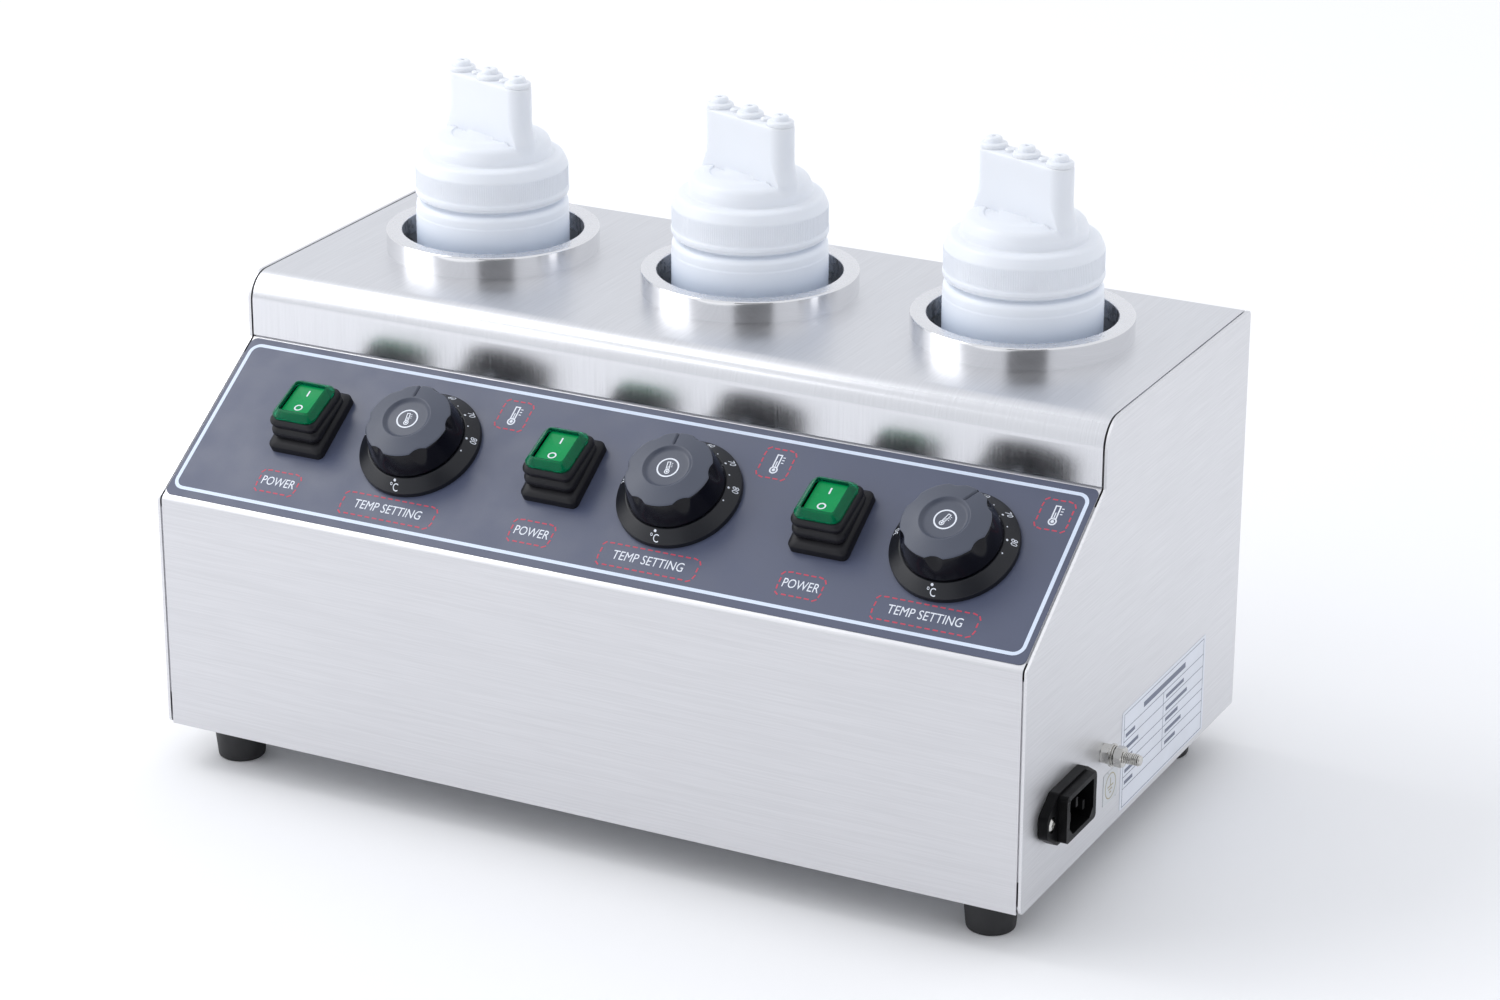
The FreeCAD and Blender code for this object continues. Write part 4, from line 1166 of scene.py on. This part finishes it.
def rounded_row(width, length, corner, z, tilt=0.0, dish=0.0):
    """A rounded rectangle row at height z in mm, dished along Y, tipped about the rocker's pivot."""
    turn = math.radians(-tilt)
    row = []
    for cx, cy, first in ((1, 1, 0), (-1, 1, 90), (-1, -1, 180), (1, -1, 270)):
        for k in range(CORNER_STEPS + 1):
            angle = math.radians(first + 90 * k / CORNER_STEPS)
            x = cx * (width / 2 - corner) + corner * math.cos(angle)
            y = cy * (length / 2 - corner) + corner * math.sin(angle)
            dz = z - PIVOT_HEIGHT + dish * (y / DISH_HALF) ** 2
            row.append((x * MM, (y * math.cos(turn) - dz * math.sin(turn)) * MM,
                        (PIVOT_HEIGHT + y * math.sin(turn) + dz * math.cos(turn)) * MM))
    return row


def boot_rows():
    base = ((24, 31, 2, 0.34), (26, 33, 2.6, 0.34), (26, 33, 2.6, 3.4), (25.7, 32.7, 2.6, 3.9),
            (23.0, 29.8, 3.2, 5.05), (22.2, 28.4, 3.0, 5.2))
    rows = [rounded_row(*size) for size in base]
    for k in range(2):
        low = 5.3 + 3.95 * k
        wide = 24.0 - 0.5 * k
        long = 26.6 - 0.5 * k
        for up, inset in ((0.0, 2.3), (0.35, 1.3), (1.1, 0.25), (1.6, 0.0), (2.2, 0.0), (2.8, 0.3),
                          (3.6, 1.5)):
            tilt = REST_TILT * min((low + up - 4.8) / 5.5, 1)
            rows.append(rounded_row(wide - inset, long - inset, 4 - inset / 4, low + up, tilt))
    rows.append(rounded_row(21.2, 23.8, 3, 13.2, REST_TILT))
    rows.append(rounded_row(18.0, 20.8, 2, 13.2, REST_TILT))
    rows.append(rounded_row(17.8, 21.2, 2, 8.0, REST_TILT))
    rows.append(rounded_row(17.5, 24.0, 1.5, 1.6))
    return rows


def cover_shell():
    """The clear cover: a rim, a slope and a window, hollow over the rocker."""
    rim = COVER_TOP - 2.2
    top = COVER_TOP
    wide = COVER_WIDTH
    long = COVER_LENGTH
    outline = [(18.2, 20.6, 2, rim - 1.5), (wide - 0.6, long - 0.6, 3.8, rim - 1.6),
               (wide, long, 4.1, rim - 1.2), (wide, long, 4.1, rim - 0.4),
               (wide - 0.9, long - 0.9, 3.7, rim + 0.1), (16.6, 19.2, 2.2, top - 0.5),
               (15.4, 18.0, 1.4, top - 0.1), (14.9, 17.5, 1.2, top), (14.3, 16.9, 1.0, top - 0.3),
               (14.4, 17.0, 1.0, top - 0.9), (15.2, 17.8, 1.2, top - 1.3)]
    return skin([rounded_row(*size, REST_TILT) for size in outline], "loop")


def rocker_shell():
    rows = []
    top = COVER_TOP - 2.5
    for width, length, z, dish in ((12.6, 15.0, 2.4, 0), (14.2, 18.0, 4.0, 0), (14.0, 17.4, top - 0.4, 0.6),
                                   (13.6, 17.0, top, 0.6)):
        rows.append(rounded_row(width, length, 1.2, z, REST_TILT, dish=dish))
    for share in (0.85, 0.7, 0.55, 0.4, 0.25, 0.1):
        rows.append(rounded_row(13.6 * share, 17.0 * share, 1.2 * share, top, REST_TILT, dish=0.6))
    return skin(rows, "poles")


def sign_on_rocker(y):
    """A matrix that lays a flat sign on the rocker's dish, y up the slope in mm."""
    rise = COVER_TOP - 2.5 - PIVOT_HEIGHT + 0.6 * (y / DISH_HALF) ** 2 + 0.03
    tilt = Matrix.Rotation(math.atan(1.2 * y / DISH_HALF ** 2), 4, "X")
    return Matrix.Translation((0, y * MM, rise * MM)) @ tilt


def build_switch(name):
    u, v = SWITCHES[name]
    place = panel_matrix(u, v)
    body = "rocker_" + name
    boot = make_piece("rubber_boot_" + name, [skin(boot_rows(), "loop")], [FINISH["rubber"]], place, 60)
    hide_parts("switch_boot_" + name)
    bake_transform(boot)
    print(boot.name, "bends between root and", body)
    cover = make_piece("rocker_cover_" + name, [cover_shell()], [FINISH["cover"]], place, 40)
    settle(cover, body, "lens_green", "switch_lens_" + name)
    rocker = make_piece("rocker_key_" + name, [rocker_shell()], [FINISH["rocker"]], place, 40)
    settle(rocker, body, "rocker_green", "switch_rocker_" + name)
    pivot = Matrix.Translation((0, 0, PIVOT_HEIGHT * MM))
    tip = place @ pivot @ Matrix.Rotation(math.radians(-REST_TILT), 4, "X")
    line = make_piece("on_mark", [bar(-0.35, -1.6, 0.35, 1.6)], [FINISH["white"]], tip @ sign_on_rocker(4.6))
    zero = make_piece("off_mark", [flat_ring(1.25, 1.9, 40)], [FINISH["white"]], tip @ sign_on_rocker(-4.2))
    settle(join_pieces("rocker_signs_" + name, [line, zero]), body, "label_film")


for name in STATIONS:
    build_switch(name)


# %% [markdown]
# ## Print on the control panel
# A pale line runs round the film, and each control has a word or a sign in a dashed red box. The
# line is a skin over two rounded rectangles; the boxes come from the dashed frame tree.

# %% Print the control panel
def panel_line():
    u0, u1, v0, v1, width, corner = -196.3, 195.6, 6.0, 85.6, 1.6, 5.2
    rows = []
    for inset, h in ((0, 0), (width, 0), (width, 0.04), (0, 0.04)):
        row = rounded_row(u1 - u0 - 2 * inset, v1 - v0 - 2 * inset, corner - inset, h)
        rows.append([(x + (u0 + u1) / 2 * MM, y + (v0 + v1) / 2 * MM, z) for x, y, z in row])
    return skin(rows, "loop")


def printed_box(name, u, v, width, height):
    """A dashed red box centred on the panel at u, v, all in metres."""
    pitch = 3.4 * MM
    corner = 1.5 * MM
    around = 2 * (width + height) - 1.72 * corner
    return grow(name, DASHED_FRAME, panel_matrix(u, v, FILM + PRINT / 2), Width=width, Height=height,
                Corner=corner, Dash=2.2 * MM, Line=0.62 * MM, Thickness=PRINT,
                Count=int(round(around / pitch)), Material=FINISH["red"])


def print_panel():
    line = make_piece("panel_border", [panel_line()], [FINISH["pale"]], panel_matrix(0, 0, FILM))
    settle(line, "root", "label_film")
    boxes = []
    words = []
    for name in STATIONS:
        switch_u = SWITCHES[name][0]
        knob_u = KNOBS[name][0]
        power = (switch_u - 1.2 * MM, 18.3 * MM)
        temperature = (knob_u + 0.2 * MM, 15.7 * MM)
        sign = (knob_u + 33.6 * MM, 72.9 * MM)
        boxes.append(printed_box("box", *power, 18.9 * MM, 10.9 * MM))
        boxes.append(printed_box("box", *temperature, 44.0 * MM, 10.8 * MM))
        boxes.append(printed_box("box", *sign, 13.3 * MM, 14.5 * MM))
        for word, place, share in (("POWER", power, 0.76), ("TEMP SETTING", temperature, 0.80)):
            words.append(flat_text("word", word, 4.3 * MM, share, FINISH["white"],
                                   panel_matrix(*place, FILM + PRINT / 2)))
        words.append(thermometer(panel_matrix(*sign, FILM), 10.5, "sign"))
    settle(join_pieces("panel_boxes", boxes), "root", "label_film")
    settle(join_pieces("panel_words", words), "root", "label_film")


print_panel()


# %% [markdown]
# ## Labels and threads
# The rating label is only ruled here, with grey bars where its words would be, and the sticker by
# the stud shows the common earth sign. The stud's thread is a helix.

# %% Rule the labels and cut the threads
WALL_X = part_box("right_side_panel")[1].x


def wall_matrix(x, y, z):
    """Takes a flat piece to the right-hand wall: its X runs along +Y, its Y up, its Z out."""
    turned = Matrix(((0, 0, 1), (1, 0, 0), (0, 1, 0))).to_4x4()
    return Matrix.Translation((x, y, z)) @ turned


def rule_label():
    low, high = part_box("rating_label")
    width = (high.y - low.y) / MM
    margin = 2.0
    line = 0.28
    middle = width * 0.488
    lines = [0.8, 8.8, 14.0, 19.4, 24.0, 30.0, 35.4, 42.4]
    marks = [bar(margin, y, width - margin, y + line) for y in lines]
    marks.append(bar(margin, lines[0], margin + line, lines[-1]))
    marks.append(bar(width - margin - line, lines[0], width - margin, lines[-1]))
    marks.append(bar(middle, lines[1], middle + line, lines[-2]))
    for y, short, long in ((10.4, 9, 12), (15.6, 12, 18), (21.0, 8, 14), (25.9, 14, 24), (31.6, 10, 20)):
        marks.append(bar(margin + 2, y, margin + 2 + short, y + 1.7))
        marks.append(bar(middle + 3, y, middle + 3 + long, y + 1.7))
    marks.append(bar(width * 0.25, 37.6, width * 0.75, 40.0))
    place = wall_matrix(high.x, low.y, low.z)
    settle(make_piece("label_rules", marks, [FINISH["ink"]], place), "root", "label_film")


def sign_sticker():
    low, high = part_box("earth_symbol_label")
    place = wall_matrix(high.x, (low.y + high.y) / 2, (low.z + high.z) / 2)
    marks = [flat_ring(5.2, 5.7, 48), bar(-0.3, 0, 0.3, 3.6)]
    marks += [bar(-half, y, half, y + 0.6) for half, y in ((3.0, -0.3), (1.9, -1.7), (0.9, -3.1))]
    settle(make_piece("earth_sign", marks, [FINISH["gold"]], place), "root", "label_film")


def cut_stud_thread():
    low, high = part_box("earth_stud")
    centre = Vector((0, (low.y + high.y) / 2, (low.z + high.z) / 2))
    turned = Matrix.Rotation(math.radians(90), 4, "Y")
    start = WALL_X + 9.7 * MM
    place = Matrix.Translation(centre + Vector((start, 0, 0))) @ turned
    thread = grow("stud_thread", THREAD, place, Radius=2.12 * MM, Turns=7.5, Length=6.1 * MM,
                  Ridge=0.42 * MM, Material=STEEL["screw"])
    settle(thread, "root", "zinc_screws")


rule_label()
sign_sticker()
cut_stud_thread()
